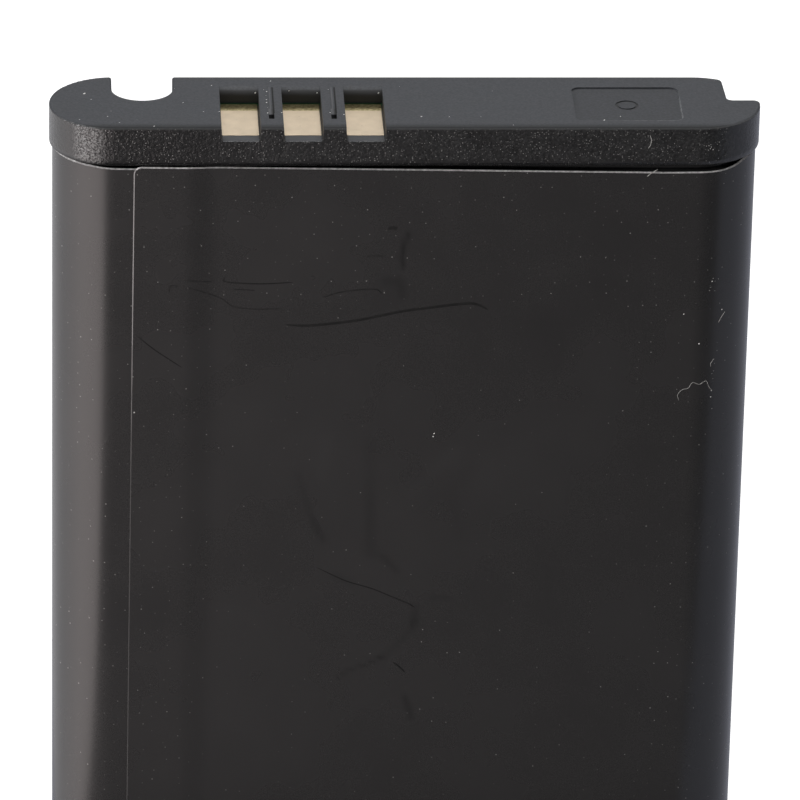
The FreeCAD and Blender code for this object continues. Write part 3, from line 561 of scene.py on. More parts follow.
def slit_pit():
    """1 inside the pits at the front ends of both slits, below the roof."""
    return times(cap_plastic, calc(cap_plastic, "LESS_THAN", slit_gap(0.0), PIT_HALF),
                 calc(cap_plastic, "LESS_THAN", cap_y, SLIT_FRONT + PIT_LENGTH),
                 calc(cap_plastic, "GREATER_THAN", cap_y, SLIT_FRONT - PIT_MARGIN),
                 calc(cap_plastic, "LESS_THAN", cap_z, cap_high.z - PIT_DEPTH))


def sill_mask():
    """1 on the windows' sills: near their level, behind the front wall's skin, between the outer windows."""
    gap = calc(cap_plastic, "ABSOLUTE", calc(cap_plastic, "SUBTRACT", cap_z, cap_high.z - SILL_DEPTH))
    level = step_up(cap_plastic, gap, *SILL_GAPS)
    level = times(cap_plastic, level, step_up(cap_plastic, cap_y, cap_low.y, cap_low.y + SILL_SKIN))
    inside = times(cap_plastic, calc(cap_plastic, "GREATER_THAN", cap_x, SILL_ENDS[0]),
                   calc(cap_plastic, "LESS_THAN", cap_x, SILL_ENDS[1]))
    return times(cap_plastic, level, inside)


def front_edge():
    """Painted shade: rises from 0 to its share over the last stretch of the roof before its front edge."""
    return times(cap_plastic, step_up(cap_plastic, cap_y, EDGE_FROM, cap_low.y), EDGE_SHARE,
                 step_up(cap_plastic, cap_z, cap_high.z - EDGE_DEPTH, cap_high.z))


rim_highlight, panel_floor = painted_rim_highlight()
cap_pit = slit_pit()
# Painted shade along the slits, over the roof's front edge and on the panel's floor
cap_shade = calc(cap_plastic, "MAXIMUM", slit_line(*SLIT_SHADOW), front_edge())
cap_shade = calc(cap_plastic, "MAXIMUM", cap_shade, times(cap_plastic, panel_floor, PANEL_SHARE))
# Marks mixed into the cap's colour in turn: painted shade, painted light in the slits' pits with painted
# shadow in their right half, a painted highlight along the slits, the sills' tone and a painted highlight on
# the panel's rim
cap_marks = (
    (cap_shade, SHADE_TONE),
    (cap_pit, PIT_LIGHT_TONE),
    (times(cap_plastic, cap_pit, slit_line(*PIT_SHADOW)), PAINTED_SHADE_AND_PIT_BLACK),
    (slit_line(*SLIT_GLOW), SLIT_HIGHLIGHT_TONE),
    (sill_mask(), SILL_TONE),
    (rim_highlight, RIM_HIGHLIGHT_TONE),
)
cap_body = source_of(cap_plastic, "Base Color")
for mark, tone in cap_marks:
    cap_body = mixed(cap_plastic, mark, cap_body, tone)
drive(cap_plastic, "Base Color", cap_body)
cap_dull = times(cap_plastic, cap_shade, SHADE_DULLING)
cap_rough = calc(cap_plastic, "ADD", source_of(cap_plastic, "Roughness"), cap_dull)
below_flange = calc(cap_plastic, "LESS_THAN", cap_z, flange_foot - FLANGE_MARGIN)
cap_rough = times(cap_plastic, cap_rough, rest_of(cap_plastic, below_flange))
drive(cap_plastic, "Roughness", calc(cap_plastic, "MAXIMUM", cap_rough, GAP_ROUGHNESS))
dress("contact_end_cap", cap_plastic)

# Film label: one strip of satin black film round the cell, stuck with its own adhesive. It starts under the
# seam, goes round the left end, the back and the right end, climbs over its own first end and stops at the
# seam, with a rounded free corner and pale cut edges.
FILM_THICKNESS = 0.1 * MM
FILM_CORNER = 0.42 * MM
CUT_SLANT = 0.048 * MM
SEAM_FROM_END = 4.5 * MM
SEAM_LEAN = math.radians(0.35)
LAP_LENGTH = 2.3 * MM
RAMP_LOW = 4.55 * MM
RAMP_HIGH = 2.7 * MM
CORNER_STATIONS = 14
FILM_ROW = 0.25 * MM
FILM_COLUMN = 0.25 * MM
FILM_DARK = (0.0118, 0.0112, 0.0114, 1)
FILM_LIGHT = (0.0180, 0.0170, 0.0170, 1)
FILM_RUBBED = (0.002, 0.002, 0.002, 1)
FILM_HAZE = (0.030, 0.029, 0.029, 1)
FILM_CORE_DARK = (0.42, 0.40, 0.40, 1)
FILM_CORE_LIGHT = (0.82, 0.80, 0.80, 1)
SEAM_PALE = (0.20, 0.19, 0.19, 1)
SEAM_GREY = (0.045, 0.043, 0.043, 1)
SEAM_PALE_FROM = 46.5 * MM
SEAM_GREY_BELOW = 35 * MM
FILM_CLOUD = 6 * MM
FILM_GRAIN = 0.09 * MM
FILM_GRAIN_DEPTH = 0.0012 * MM
CLOUD_SHARE = 0.6
FILM_ROUGHNESS = (0.2, 0.34)
CORE_FLECK = 0.2 * MM
CORE_LOW = 0.35
SEAM_PATCH = 2.5 * MM
SEAM_SPREAD = 12 * MM
SHARP_ANGLE = math.radians(35)
FACE_FILM, CUT_FILM, SEAM_FILM = range(3)
film_low, film_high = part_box("wrap_film")
film_radius = film_high.y
lap_lift = -film_low.y - film_high.y
end_centre = film_high.x - film_high.y
seam_x = cap_low.x + SEAM_FROM_END
film_start_x = seam_x + LAP_LENGTH
film_foot = film_low.z
half_turn = math.pi * film_radius
runs = (0, end_centre + film_start_x, half_turn, 2 * end_centre, half_turn, end_centre - seam_x)
film_marks = np.cumsum(runs)
film_length = film_marks[-1]
front_mark = film_marks[4]
front_middle = front_mark + end_centre

# Heights of the film's upper edge below the cap's top, at shares of the way along each run
TOP_PLACES = (
    (0, 0.0, 2.50), (1, 0.0, 2.45), (1, 0.07, 2.41), (1, 0.13, 2.36), (1, 0.3, 2.31), (3, 0.66, 2.31),
    (3, 0.71, 2.34), (3, 0.75, 2.44), (3, 0.785, 2.53), (3, 0.85, 2.63), (3, 0.9, 2.655), (4, 0.0, 2.665),
    (4, 0.06, 2.68), (4, 1.0, 2.31),
)


def film_top(length, inset=0.0):
    """Height of the film's upper edge, set in by a margin, at a length along the strip: straight between the
    places above, and rounded off at the free corner by a quarter circle that the margin makes smaller."""
    at = [film_marks[run] + share * (film_marks[run + 1] - film_marks[run]) for run, share, _ in TOP_PLACES]
    fall = np.interp(length, at, [below * MM for _, _, below in TOP_PLACES])
    radius = FILM_CORNER - inset
    into_corner = np.clip(FILM_CORNER - (film_length - length), 0, radius)
    return cap_high.z - fall - FILM_CORNER + np.sqrt(radius**2 - into_corner**2)


def film_place(length, height, depth):
    """Point of the film: the strip follows two straights and two half circles, the outward direction turning
    from the front through left, back and right. Depth is inwards from the outer face. The last run leans
    with the seam, and climbs by a smooth step over the film's first end."""
    turn = np.interp(length, film_marks, np.pi * np.array((0, 0, 1, 1, 2, 2)))
    ends = (film_start_x, -end_centre, -end_centre, end_centre, end_centre, seam_x)
    along = np.interp(length, film_marks, ends)
    climb = np.clip((seam_x + RAMP_LOW - along) / (RAMP_LOW - RAMP_HIGH), 0, 1) * (length > front_mark)
    radius = film_radius + lap_lift * climb**2 * (3 - 2 * climb) - depth
    lean = np.tan(SEAM_LEAN) * (cap_high.z - height) * (length - front_mark) / (film_length - front_mark)
    shift = np.where(length > front_mark, lean, 0)
    return np.stack([along - shift - np.sin(turn) * radius, -np.cos(turn) * radius, height], axis=-1)


def ring_skin(name, *bundles):
    """Closed mesh from bundles of rings: a face joins points j and j+1 of one ring to those of the next, and
    one face closes each end of a bundle."""
    faces = []
    first = 0
    for rings in bundles:
        count, around = rings.shape[:2]
        numbers = first + np.arange(count * around).reshape(count, around)
        after = np.roll(numbers, -1, axis=1)
        sides = np.stack([numbers[:-1], after[:-1], after[1:], numbers[1:]], axis=-1).reshape(-1, 4)
        faces += [*sides.tolist(), numbers[0, ::-1].tolist(), numbers[-1].tolist()]
        first += count * around
    mesh = bpy.data.meshes.new(name)
    mesh.from_pydata(np.concatenate([rings.reshape(-1, 3) for rings in bundles]).tolist(), [], faces)
    mesh.polygons.foreach_set("use_smooth", np.ones(len(faces), dtype=bool))
    mesh.set_sharp_from_angle(angle=SHARP_ANGLE)
    piece = bpy.data.objects.new(name, mesh)
    bpy.context.scene.collection.objects.link(piece)
    return piece


def film_lengths():
    """Stations along the strip: even, and then at the sines of even angles, so that the free corner's arc is
    even too."""
    even = np.linspace(0, film_length - FILM_CORNER, round(film_length / FILM_COLUMN))
    corner = film_length - FILM_CORNER * (1 - np.sin(np.linspace(0, np.pi / 2, CORNER_STATIONS + 1)[1:]))
    return np.concatenate([even, corner])


film_stations = film_lengths()
film_rows = round((film_high.z - film_foot) / FILM_ROW)
corner_share = np.clip(1 - (film_length - film_stations) / FILM_CORNER, 0, 1)
outer_stations = (film_stations - CUT_SLANT * corner_share)[:, None]
outer_tops = film_top(outer_stations, CUT_SLANT)
outer_feet = film_foot + CUT_SLANT
rise = np.linspace(0, 1, film_rows)[None, :]
outer_face = film_place(outer_stations + 0 * rise, outer_feet + (outer_tops - outer_feet) * rise, 0 * rise)
inner_tops = film_top(film_stations)[:, None]
inner_heights = np.concatenate([inner_tops, np.full_like(inner_tops, film_foot)], axis=1)
inner_face = film_place(film_stations[:, None] + 0 * inner_heights, inner_heights, FILM_THICKNESS)
film = ring_skin("film_label", np.concatenate([outer_face, inner_face], axis=1))

# Soft smears on the front: strength, half width in mm, then places across from the front's middle and up
SMEARS = (
    (-0.36, 0.40, ((-1.60, 36.00), (-1.51, 31.17), (-1.41, 29.16))),
    (-0.2, 0.60, ((-1.65, 32.50), (-1.55, 29.40))),
    (-0.45, 0.24, ((-5.45, 34.03), (-4.78, 31.61))),
    (-0.73, 0.25, ((-4.60, 31.20), (-4.03, 29.96))),
    (-0.60, 0.28, ((-0.75, 28.94), (-0.02, 28.12))),
    (-0.5, 0.30, ((-3.45, 27.83), (-2.52, 27.40))),
    (-0.83, 0.25, ((0.60, 20.32), (0.98, 19.08))),
    (-0.3, 0.50, ((3.76, 34.30), (2.71, 32.80), (3.47, 30.12))),
    (-0.54, 0.20, ((1.92, 26.47), (3.01, 26.40))),
    (-0.63, 0.28, ((1.04, 25.92), (1.02, 24.93))),
    (-1.2, 0.16, ((0.12, 48.22), (-0.20, 46.93), (-0.08, 46.34))),
    (-0.64, 0.30, ((-1.00, 45.46), (-0.25, 45.52), (-0.07, 44.58))),
    (-0.48, 0.22, ((1.02, 25.00), (0.80, 24.42), (0.10, 23.55), (-0.74, 22.80))),
    (-0.8, 0.15, ((-0.74, 22.80), (-1.60, 22.35), (-2.54, 21.99), (-3.04, 21.58))),
    (0.32, 0.50, ((-3.96, 35.83), (-4.20, 33.78))),
    (0.33, 0.60, ((0.70, 32.98), (3.03, 35.39))),
    (0.2, 0.90, ((-2.28, 38.70), (-5.47, 36.01))),
)
SMEAR_FULL = 1.3


def smear_at(across, height):
    """Sum over the smears of strength times exp(-(distance to the smear's line / half width) squared)."""
    total = np.zeros_like(across)
    for strength, half_width, line in SMEARS:
        spots = np.array(line) * MM
        nearest = np.full_like(across, np.inf)
        for start, end in zip(spots[:-1], spots[1:]):
            step = end - start
            share = ((across - start[0]) * step[0] + (height - start[1]) * step[1]) / (step @ step)
            share = np.clip(share, 0, 1)
            gap = np.hypot(across - start[0] - share * step[0], height - start[1] - share * step[1])
            nearest = np.minimum(nearest, gap)
        total += strength * np.exp(-(nearest / (half_width * MM)) ** 2)
    return total


film_across = front_middle - outer_stations + 0 * rise
film_smears = smear_at(film_across, outer_face[..., 2])
film_smears = np.concatenate([film_smears, np.zeros((len(film_stations), 2))], axis=1)
smear_layer = film.data.attributes.new("smear", "FLOAT", "POINT")
smear_layer.data.foreach_set("value", film_smears.ravel().astype(np.float32))
strip_places = np.stack([film_across, outer_face[..., 2], 0 * film_across], axis=-1)
strip_places = np.concatenate([strip_places, strip_places[:, [-1, 0]]], axis=1)
strip_layer = film.data.attributes.new("strip", "FLOAT_VECTOR", "POINT")
strip_layer.data.foreach_set("vector", strip_places.ravel().astype(np.float32))

# Settled dust, denser beside the front's middle and near the film's top
FILM_DUST = (0.9, 0.88, 0.85, 1)
FILM_DUST_SPACING = 0.7 * MM
FILM_DUST_RADIUS = 0.055
FILM_DUST_CORE = 0.4
DUST_MIDDLE = 1.5 * MM
DUST_SIDES = 10.5 * MM
DUST_TOP = 42.5 * MM
DUST_FADE = 2.5 * MM
DUST_SHARES = (0.13, 0.55)
DUST_STRENGTHS = (0.045, 0.345)


def settled_dust(finish):
    """Dots of dust, faint and strong by the fourth power of their chance: one in a share of the cells of a
    jittered lattice on the strip's own length and height, which grows towards its top and its ends."""
    strip = add_node(finish, "ShaderNodeAttribute", {}, attribute_name="strip").outputs["Vector"]
    across, up, _ = axes(finish, strip)
    aside = calc(finish, "ABSOLUTE", calc(finish, "SUBTRACT", across, DUST_MIDDLE))
    aside = step_up(finish, aside, DUST_SIDES, DUST_SIDES + DUST_FADE)
    top = step_up(finish, up, DUST_TOP, DUST_TOP + DUST_FADE)
    share = between(finish, calc(finish, "MAXIMUM", aside, top), *DUST_SHARES)
    dots, chance = lattice_dots(finish, strip, FILM_DUST_SPACING, FILM_DUST_RADIUS, FILM_DUST_CORE, share,
                                voronoi_dimensions="2D")
    return times(finish, dots, between(finish, calc(finish, "POWER", chance, 4.0), *DUST_STRENGTHS))


film_face = new_finish("satin_black_film", {"Specular IOR Level": 0.5})
film_where = place(film_face)
film_cloud = noise(film_face, film_where, FILM_CLOUD, detail=3.0)
film_grain = noise(film_face, film_where, FILM_GRAIN)
film_tone = two_noises(film_face, film_cloud, film_grain, CLOUD_SHARE)
film_body = two_tones(film_face, film_tone, FILM_DARK, FILM_LIGHT)
film_smear = add_node(film_face, "ShaderNodeAttribute", {}, attribute_name="smear").outputs["Fac"]
film_body = mixed(film_face, step_up(film_face, film_smear, 0.0, -SMEAR_FULL), film_body, FILM_RUBBED)
film_body = mixed(film_face, step_up(film_face, film_smear, 0.0, SMEAR_FULL), film_body, FILM_HAZE)
drive(film_face, "Base Color", mixed(film_face, settled_dust(film_face), film_body, FILM_DUST))
drive(film_face, "Roughness", between(film_face, film_cloud, *FILM_ROUGHNESS))
raised(film_face, film_grain, FILM_GRAIN_DEPTH)

film_core = grained("film_cut_edge", {"Roughness": 0.6}, CORE_FLECK, FILM_CORE_DARK, FILM_CORE_LIGHT,
                    detail=4.0, low=CORE_LOW)

film_seam = new_finish("film_seam_edge", {"Roughness": 0.7, "Specular IOR Level": 0.1})
seam_where = place(film_seam)
seam_height = axes(film_seam, seam_where)[2]
seam_patch = times(film_seam, noise(film_seam, seam_where, SEAM_PATCH, detail=4.0), SEAM_SPREAD)
seam_patch = calc(film_seam, "SUBTRACT", seam_patch, SEAM_SPREAD / 2)
seam_height = calc(film_seam, "ADD", seam_height, seam_patch)
seam_share = step_up(film_seam, seam_height, SEAM_GREY_BELOW, SEAM_PALE_FROM)
drive(film_seam, "Base Color", mixed(film_seam, seam_share, SEAM_GREY, SEAM_PALE))

for film_finish in (film_face, film_core, film_seam):
    film.data.materials.append(film_finish)
strip_faces = np.full((len(film_stations) - 1, film_rows + 2), FACE_FILM)
strip_faces[:, [film_rows - 1, film_rows + 1]] = CUT_FILM
strip_faces[-CORNER_STATIONS // 2:, film_rows - 1] = SEAM_FILM
strip_faces = np.append(strip_faces.ravel(), (CUT_FILM, SEAM_FILM)).astype(np.int32)
film.data.polygons.foreach_set("material_index", strip_faces)
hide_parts("wrap_film")
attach(film, "root")

# Scratches: thin dark strokes on the film's front, where use has scored its satin skin a few thousandths
# of a millimetre deep. Each has a half width in mm, then places across from the front's middle and up.
SCRATCHES = (
    (0.078, ((-6.27, 42.91), (-4.98, 42.87), (-2.52, 43.16), (-0.22, 43.67), (1.46, 43.92), (2.99, 44.12),
             (3.84, 44.13), (4.56, 43.78))),
    (0.095, ((-0.95, 48.57), (-0.69, 48.61), (-0.42, 48.57))),
    (0.030, ((-2.05, 46.95), (-1.50, 46.97), (-1.03, 46.95))),
    (0.040, ((-9.58, 45.74), (-9.51, 45.45), (-7.74, 45.33), (-5.93, 45.41))),
    (0.026, ((-11.72, 45.59), (-10.95, 45.51), (-10.20, 45.45))),
    (0.030, ((-12.55, 44.83), (-12.48, 45.26), (-12.09, 45.26))),
    (0.030, ((-11.56, 45.18), (-9.87, 44.53), (-9.12, 44.01), (-7.96, 43.84), (-6.35, 43.88))),
    (0.032, ((-9.13, 45.00), (-8.50, 44.98), (-7.97, 44.94))),
    (0.034, ((-4.36, 44.52), (-3.29, 44.85), (-1.64, 45.01), (-1.15, 44.75))),
    (0.036, ((-14.22, 42.31), (-13.23, 41.46), (-11.82, 40.45))),
    (0.034, ((-4.39, 28.34), (-2.81, 27.52), (-1.37, 27.03), (-0.20, 26.50), (0.70, 26.08), (0.99, 25.86))),
    (0.042, ((-0.08, 22.49), (0.25, 22.22), (0.57, 21.87))),
)
SCRATCH_HEIGHT = 0.004 * MM
SCRATCH_STATIONS = 60
STRAND_SIDES = 8
TAPER_START = 1.02
SCORED_DARK = (0.003, 0.003, 0.003, 1)
SCORED_LIGHT = (0.009, 0.0086, 0.0084, 1)
SCORED_MOTTLE = 0.4 * MM


def smooth_path(places, count):
    """Smooth curve through places in mm: each span is a cubic whose end slopes are half the chord of the
    places on either side."""
    places = np.array(places) * MM
    padded = np.concatenate([2 * places[:1] - places[1:2], places, 2 * places[-1:] - places[-2:-1]])
    at = np.linspace(0, len(places) - 1, count)
    span = np.minimum(at.astype(int), len(places) - 2)
    share = (at - span)[:, None]
    before, start, end, after = (padded[span + step] for step in range(4))
    bend = 2 * before - 5 * start + 4 * end - after + share * (3 * (start - end) + after - before)
    return start + 0.5 * share * (end - before + share * bend)


def strand(centre, outward, half_width, half_height):
    """Rings of a strand: an ellipse set across a path, lying flat to the outward direction and tapering to
    both ends as the square root of just over 1 less the sixth power of the way from the middle."""
    along = np.gradient(centre, axis=0)
    along /= np.linalg.norm(along, axis=1, keepdims=True)
    side = np.cross(outward, along)
    taper = np.sqrt(TAPER_START - np.linspace(-1, 1, len(centre)) ** 6)[:, None, None]
    turn = np.linspace(0, 2 * np.pi, STRAND_SIDES, endpoint=False)[None, :, None]
    ring = half_width * np.cos(turn) * side[:, None] + half_height * np.sin(turn) * outward[:, None]
    return centre[:, None] + taper * ring


def film_strand(places, lift, half_width, half_height, count):
    """Strand along a smooth path on the film's front or right end, lifted off its face."""
    across, height = smooth_path(places, count).T
    length = front_middle - across
    centre = film_place(length, height, -lift)
    outward = (film_place(length, height, -lift - MM) - centre) / MM
    return strand(centre, outward, half_width, half_height)


scratches = ring_skin("film_scratches", *(
    film_strand(places, 0.0, half_width * MM, SCRATCH_HEIGHT, SCRATCH_STATIONS)
    for half_width, places in SCRATCHES))
scored_film = grained("scored_film", {"Specular IOR Level": 0.2, "Roughness": 0.5}, SCORED_MOTTLE,
                      SCORED_DARK, SCORED_LIGHT)
scratches.data.materials.append(scored_film)
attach(scratches, "root")

# Lint: a few pale cotton fibres from a pocket or a cloth. They cling to the film's right side, and one to
# the cap's front. Each has a half width in mm, then places across and up, as the scratches have.
FIBRE_STATIONS = 80
FIBRES = (
    (0.011, ((14.95, 38.37), (14.88, 38.72), (15.13, 39.02), (15.43, 39.11), (15.66, 39.44), (16.02, 39.32),
             (16.39, 39.49), (16.55, 39.17), (16.74, 38.86))),
    (0.016, ((16.98, 42.87), (17.14, 43.15), (17.38, 43.44))),
    (0.011, ((16.64, 40.30), (16.62, 40.47), (16.70, 40.62), (16.82, 40.77))),
    (0.018, ((12.80, 51.60), (13.05, 51.82), (13.36, 52.02))),
)
CAP_FIBRE = ((12.85, 54.08), (12.94, 53.79), (12.90, 53.50), (12.77, 53.27))
CAP_FIBRE_HALF = 0.018 * MM
CAP_SINK = 0.004 * MM
COTTON_DARK = (0.3, 0.29, 0.28, 1)
COTTON_LIGHT = (0.5, 0.49, 0.47, 1)
COTTON_MOTTLE = 0.1 * MM
cap_across, cap_height = smooth_path(CAP_FIBRE, FIBRE_STATIONS).T
cap_front = np.full_like(cap_across, cap_low.y + CAP_SINK / 2)
cap_fibre_path = np.stack([cap_across, cap_front, cap_height], axis=-1)
cap_outward = np.tile((0.0, -1.0, 0.0), (FIBRE_STATIONS, 1))
lint = ring_skin(
    "lint",
    *(film_strand(places, half * MM, half * MM, half * MM, FIBRE_STATIONS) for half, places in FIBRES),
    strand(cap_fibre_path, cap_outward, CAP_FIBRE_HALF, CAP_SINK))
cotton = grained("cotton_lint", {"Roughness": 0.9}, COTTON_MOTTLE, COTTON_DARK, COTTON_LIGHT)
lint.data.materials.append(cotton)
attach(lint, "root")

# Dust: pale crumbs that stick to the film, the cap's roof and the windows' back walls, the largest in a nick
# at the roof's left end. Places in mm: across and up on the film, across, back and half width on the roof,
# and across, below the roof and half width in the windows.
CRUMB_HALF = 0.028 * MM
CRUMB_STATIONS = 8
CRUMBS = ((16.74, 38.86), (16.71, 38.49), (17.18, 43.60), (15.04, 43.51), (15.93, 41.74), (16.52, 45.38),
          (1.82, 36.41), (1.77, 36.23), (-14.33, 37.77))
FINE_CRUMB_HALF = 0.012 * MM
FINE_CRUMBS = ((16.58, 45.54), (16.69, 45.38), (16.90, 45.46), (16.45, 45.04), (16.40, 44.86),
               (16.70, 44.80), (16.79, 39.56), (16.72, 39.88), (16.81, 40.02))
ROOF_CRUMBS = ((-17.11, 1.14, 0.055), (-16.75, 0.35, 0.022), (-7.11, 2.83, 0.028), (-7.37, 1.41, 0.030),
               (-7.40, 0.34, 0.026), (-7.41, -0.06, 0.032), (-7.39, -1.45, 0.030), (-4.07, -1.40, 0.028),
               (-11.86, -0.06, 0.028), (-10.29, 2.22, 0.026), (-10.80, -1.26, 0.020), (-15.9, -1.9, 0.022),
               (-17.39, -2.32, 0.020), (-15.28, -2.72, 0.020), (0.77, -1.93, 0.036), (2.25, -1.96, 0.024),
               (10.48, -2.40, 0.030), (11.38, -1.90, 0.024), (-13.45, -3.20, 0.030), (5.60, -3.05, 0.020),
               (-9.96, -1.26, 0.030), (-6.64, -1.40, 0.030), (-3.34, -1.66, 0.030), (-7.42, 0.87, 0.012),
               (-7.37, -0.73, 0.013), (-7.52, 1.68, 0.012), (-4.06, 1.68, 0.014), (-0.22, 2.09, 0.012),
               (-12.28, 1.81, 0.012))
ROOF_CRUMB_HEIGHT = 0.004 * MM
WINDOW_BACK = 1.775
WINDOW_CRUMBS = ((-7.96, 0.24, 0.034), (-4.65, 0.24, 0.030), (-1.36, 0.24, 0.030), (-6.16, 0.12, 0.022))
CRUMB_SLANT = 0.7
ROOF_CRUMB_SLANT = 1.5
DUST_DARK = (0.6, 0.59, 0.57, 1)
DUST_LIGHT = (0.9, 0.89, 0.87, 1)
DUST_MOTTLE = 0.05 * MM
roof_outward = np.tile((0.0, 0.0, 1.0), (CRUMB_STATIONS, 1))
window_outward = np.tile((0.0, -1.0, 0.0), (CRUMB_STATIONS, 1))


def film_crumb(across, height, half):
    """Short strand on the film, half of it standing out, along a slant a little longer than it is wide."""
    reach = half / MM
    slant = CRUMB_SLANT * reach
    ends = ((across - reach, height - slant), (across + reach, height + slant))
    return film_strand(ends, 0.0, half, half, CRUMB_STATIONS)


def roof_crumb(across, back, half):
    """Short flat strand pressed into the cap's roof, so that a half of its half height stands out."""
    share = np.linspace(-1, 1, CRUMB_STATIONS)
    level = np.full(CRUMB_STATIONS, (cap_high.z - ROOF_CRUMB_HEIGHT / 2) / MM)
    path = np.stack([across + half * share, back + ROOF_CRUMB_SLANT * half * share, level], axis=-1)
    return strand(path * MM, roof_outward, half * MM, ROOF_CRUMB_HEIGHT)


def window_crumb(across, below, half):
    """Short flat strand on the back wall of a contact window, below the roof."""
    share = np.linspace(-1, 1, CRUMB_STATIONS)
    depth = np.full(CRUMB_STATIONS, WINDOW_BACK)
    path = np.stack([across + half * share, depth, cap_high.z / MM - below + half * share], axis=-1)
    return strand(path * MM, window_outward, half * MM, ROOF_CRUMB_HEIGHT)


crumbs = ring_skin(
    "dust_crumbs",
    *(film_crumb(*spot, CRUMB_HALF) for spot in CRUMBS),
    *(film_crumb(*spot, FINE_CRUMB_HALF) for spot in FINE_CRUMBS),
    *(roof_crumb(*crumb) for crumb in ROOF_CRUMBS),
    *(window_crumb(*crumb) for crumb in WINDOW_CRUMBS))
pale_dust = grained("pale_dust", {"Roughness": 0.9}, DUST_MOTTLE, DUST_DARK, DUST_LIGHT)
crumbs.data.materials.append(pale_dust)
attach(crumbs, "root")

# Floor: a plain white sweep of paper that the pack stands on. It shows white to the camera and in
# reflections, and still takes the shadow.
FLOOR_HALF = 3.0
FLOOR_PAINT = (0.5, 0.5, 0.5, 1)
FLOOR_GLOW = 0.75


def direct_rays(finish):
    """Sum of the marks of camera, glossy and transmission rays, 0 for rays that only carry light."""
    rays = add_node(finish, "ShaderNodeLightPath", {})
    seen = calc(finish, "ADD", rays.outputs["Is Camera Ray"], rays.outputs["Is Glossy Ray"])
    return calc(finish, "ADD", seen, rays.outputs["Is Transmission Ray"])


def level_square(half, height):
    """Corners of a level square round the origin, anticlockwise from above."""
    return [(-half, -half, height), (half, -half, height), (half, half, height), (-half, half, height)]


def flat_sheet(name, corners):
    """One flat face through its corners, anticlockwise from above."""
    mesh = bpy.data.meshes.new(name)
    mesh.from_pydata(corners, [], [tuple(range(len(corners)))])
    sheet = bpy.data.objects.new(name, mesh)
    bpy.context.scene.collection.objects.link(sheet)
    return sheet


floor = flat_sheet("floor", level_square(FLOOR_HALF, 0))
floor_paint = new_finish("floor_paint", {"Base Color": FLOOR_PAINT, "Roughness": 1.0,
                                         "Specular IOR Level": 0.0, "Emission Color": (1, 1, 1, 1)})
floor_seen = calc(floor_paint, "MINIMUM", direct_rays(floor_paint), 1.0)
drive(floor_paint, "Emission Strength", times(floor_paint, floor_seen, FLOOR_GLOW))
floor.data.materials.append(floor_paint)

# Grey mat on the table, a darker card on it before the pack, and a lit part of the table at the left. Only
# reflections see the first two: they keep the black film dark, the card a little darker towards the right
# and away from the pack. The lit part also shines, and fades towards the back. Corners are in mm.
MAT_HEIGHT = 0.2 * MM
MAT_HALF = 600 * MM
MAT_TONE = (0.46, 0.475, 0.55, 1)
CARD_HEIGHT = 0.4 * MM
CARD_CORNERS = ((-33, -5), (-78, -350), (600, -400), (22, -30), (20, -5))
CARD_LEFT = -25 * MM
CARD_RIGHT = 65 * MM
CARD_FAR = -115 * MM
CARD_NEAR = -35 * MM
CARD_GAINS = (1.0, 1.17)
CARD_SHADOW_FROM = -28 * MM
CARD_SHADOW_TO = -16 * MM
CARD_SHADOW_SHARE = 0.9
CARD_TONES = ((0.0, (0.41, 0.382, 0.384, 1)), (0.45, (0.29, 0.275, 0.278, 1)),
              (0.95, (0.15, 0.15, 0.155, 1)))
LIT_HEIGHT = 0.6 * MM
LIT_CORNERS = ((-33.6, -10), (-24.7, 200), (-350, 200), (-350, -350), (-78, -350))
LIT_CENTRE = -17 * MM
LIT_TONES = ((0.0, (3.15, 2.84, 2.80, 1)), (0.31, (2.85, 2.60, 2.56, 1)), (0.37, (2.58, 2.38, 2.36, 1)),
             (0.43, (2.14, 2.0, 1.99, 1)), (0.5, (1.76, 1.68, 1.69, 1)), (0.58, (1.29, 1.26, 1.28, 1)),
             (0.67, (1.07, 1.06, 1.09, 1)), (0.84, (0.82, 0.82, 0.85, 1)), (1.0, (0.5, 0.51, 0.54, 1)))


def reflection_only(sheet):
    """Leaves a sheet to glossy rays alone."""
    sheet.visible_camera = False
    sheet.visible_diffuse = False
    sheet.visible_shadow = False
    sheet.visible_transmission = False


def glowing(name, tone):
    """Paint that shows an even tone."""
    return new_finish(name, {"Base Color": (0, 0, 0, 1), "Roughness": 1.0, "Specular IOR Level": 0.0,
                             "Emission Color": tone, "Emission Strength": 1.0})


def table_sheet(name, corners, height, paint):
    """Painted sheet lying level at a height, through corners in mm."""
    sheet = flat_sheet(name, [(x * MM, y * MM, height) for x, y in corners])
    sheet.data.materials.append(paint)
    return sheet


mat = flat_sheet("grey_mat", level_square(MAT_HALF, MAT_HEIGHT))
mat.data.materials.append(glowing("mat_paint", MAT_TONE))
reflection_only(mat)

card_paint = glowing("card_paint", CARD_TONES[0][1])
card_x, card_y, _ = axes(card_paint, place(card_paint))
card_share = calc(card_paint, "SUBTRACT", card_x, CARD_LEFT)
card_share = calc(card_paint, "DIVIDE", card_share, CARD_RIGHT - CARD_LEFT)
drive(card_paint, "Emission Color", colours(card_paint, card_share, *CARD_TONES))
card_gain = between(card_paint, step_up(card_paint, card_y, CARD_FAR, CARD_NEAR), *CARD_GAINS)
# Painted shadow of the pack on the card, nearest the pack
card_shadow = step_up(card_paint, card_y, CARD_SHADOW_FROM, CARD_SHADOW_TO)
card_shadow = times(card_paint, card_shadow, CARD_SHADOW_SHARE)
drive(card_paint, "Emission Strength", times(card_paint, card_gain, rest_of(card_paint, card_shadow)))
reflection_only(table_sheet("dark_card", CARD_CORNERS, CARD_HEIGHT, card_paint))

lit_paint = glowing("lit_paint", LIT_TONES[0][1])
lit_x, lit_y, _ = axes(lit_paint, place(lit_paint))
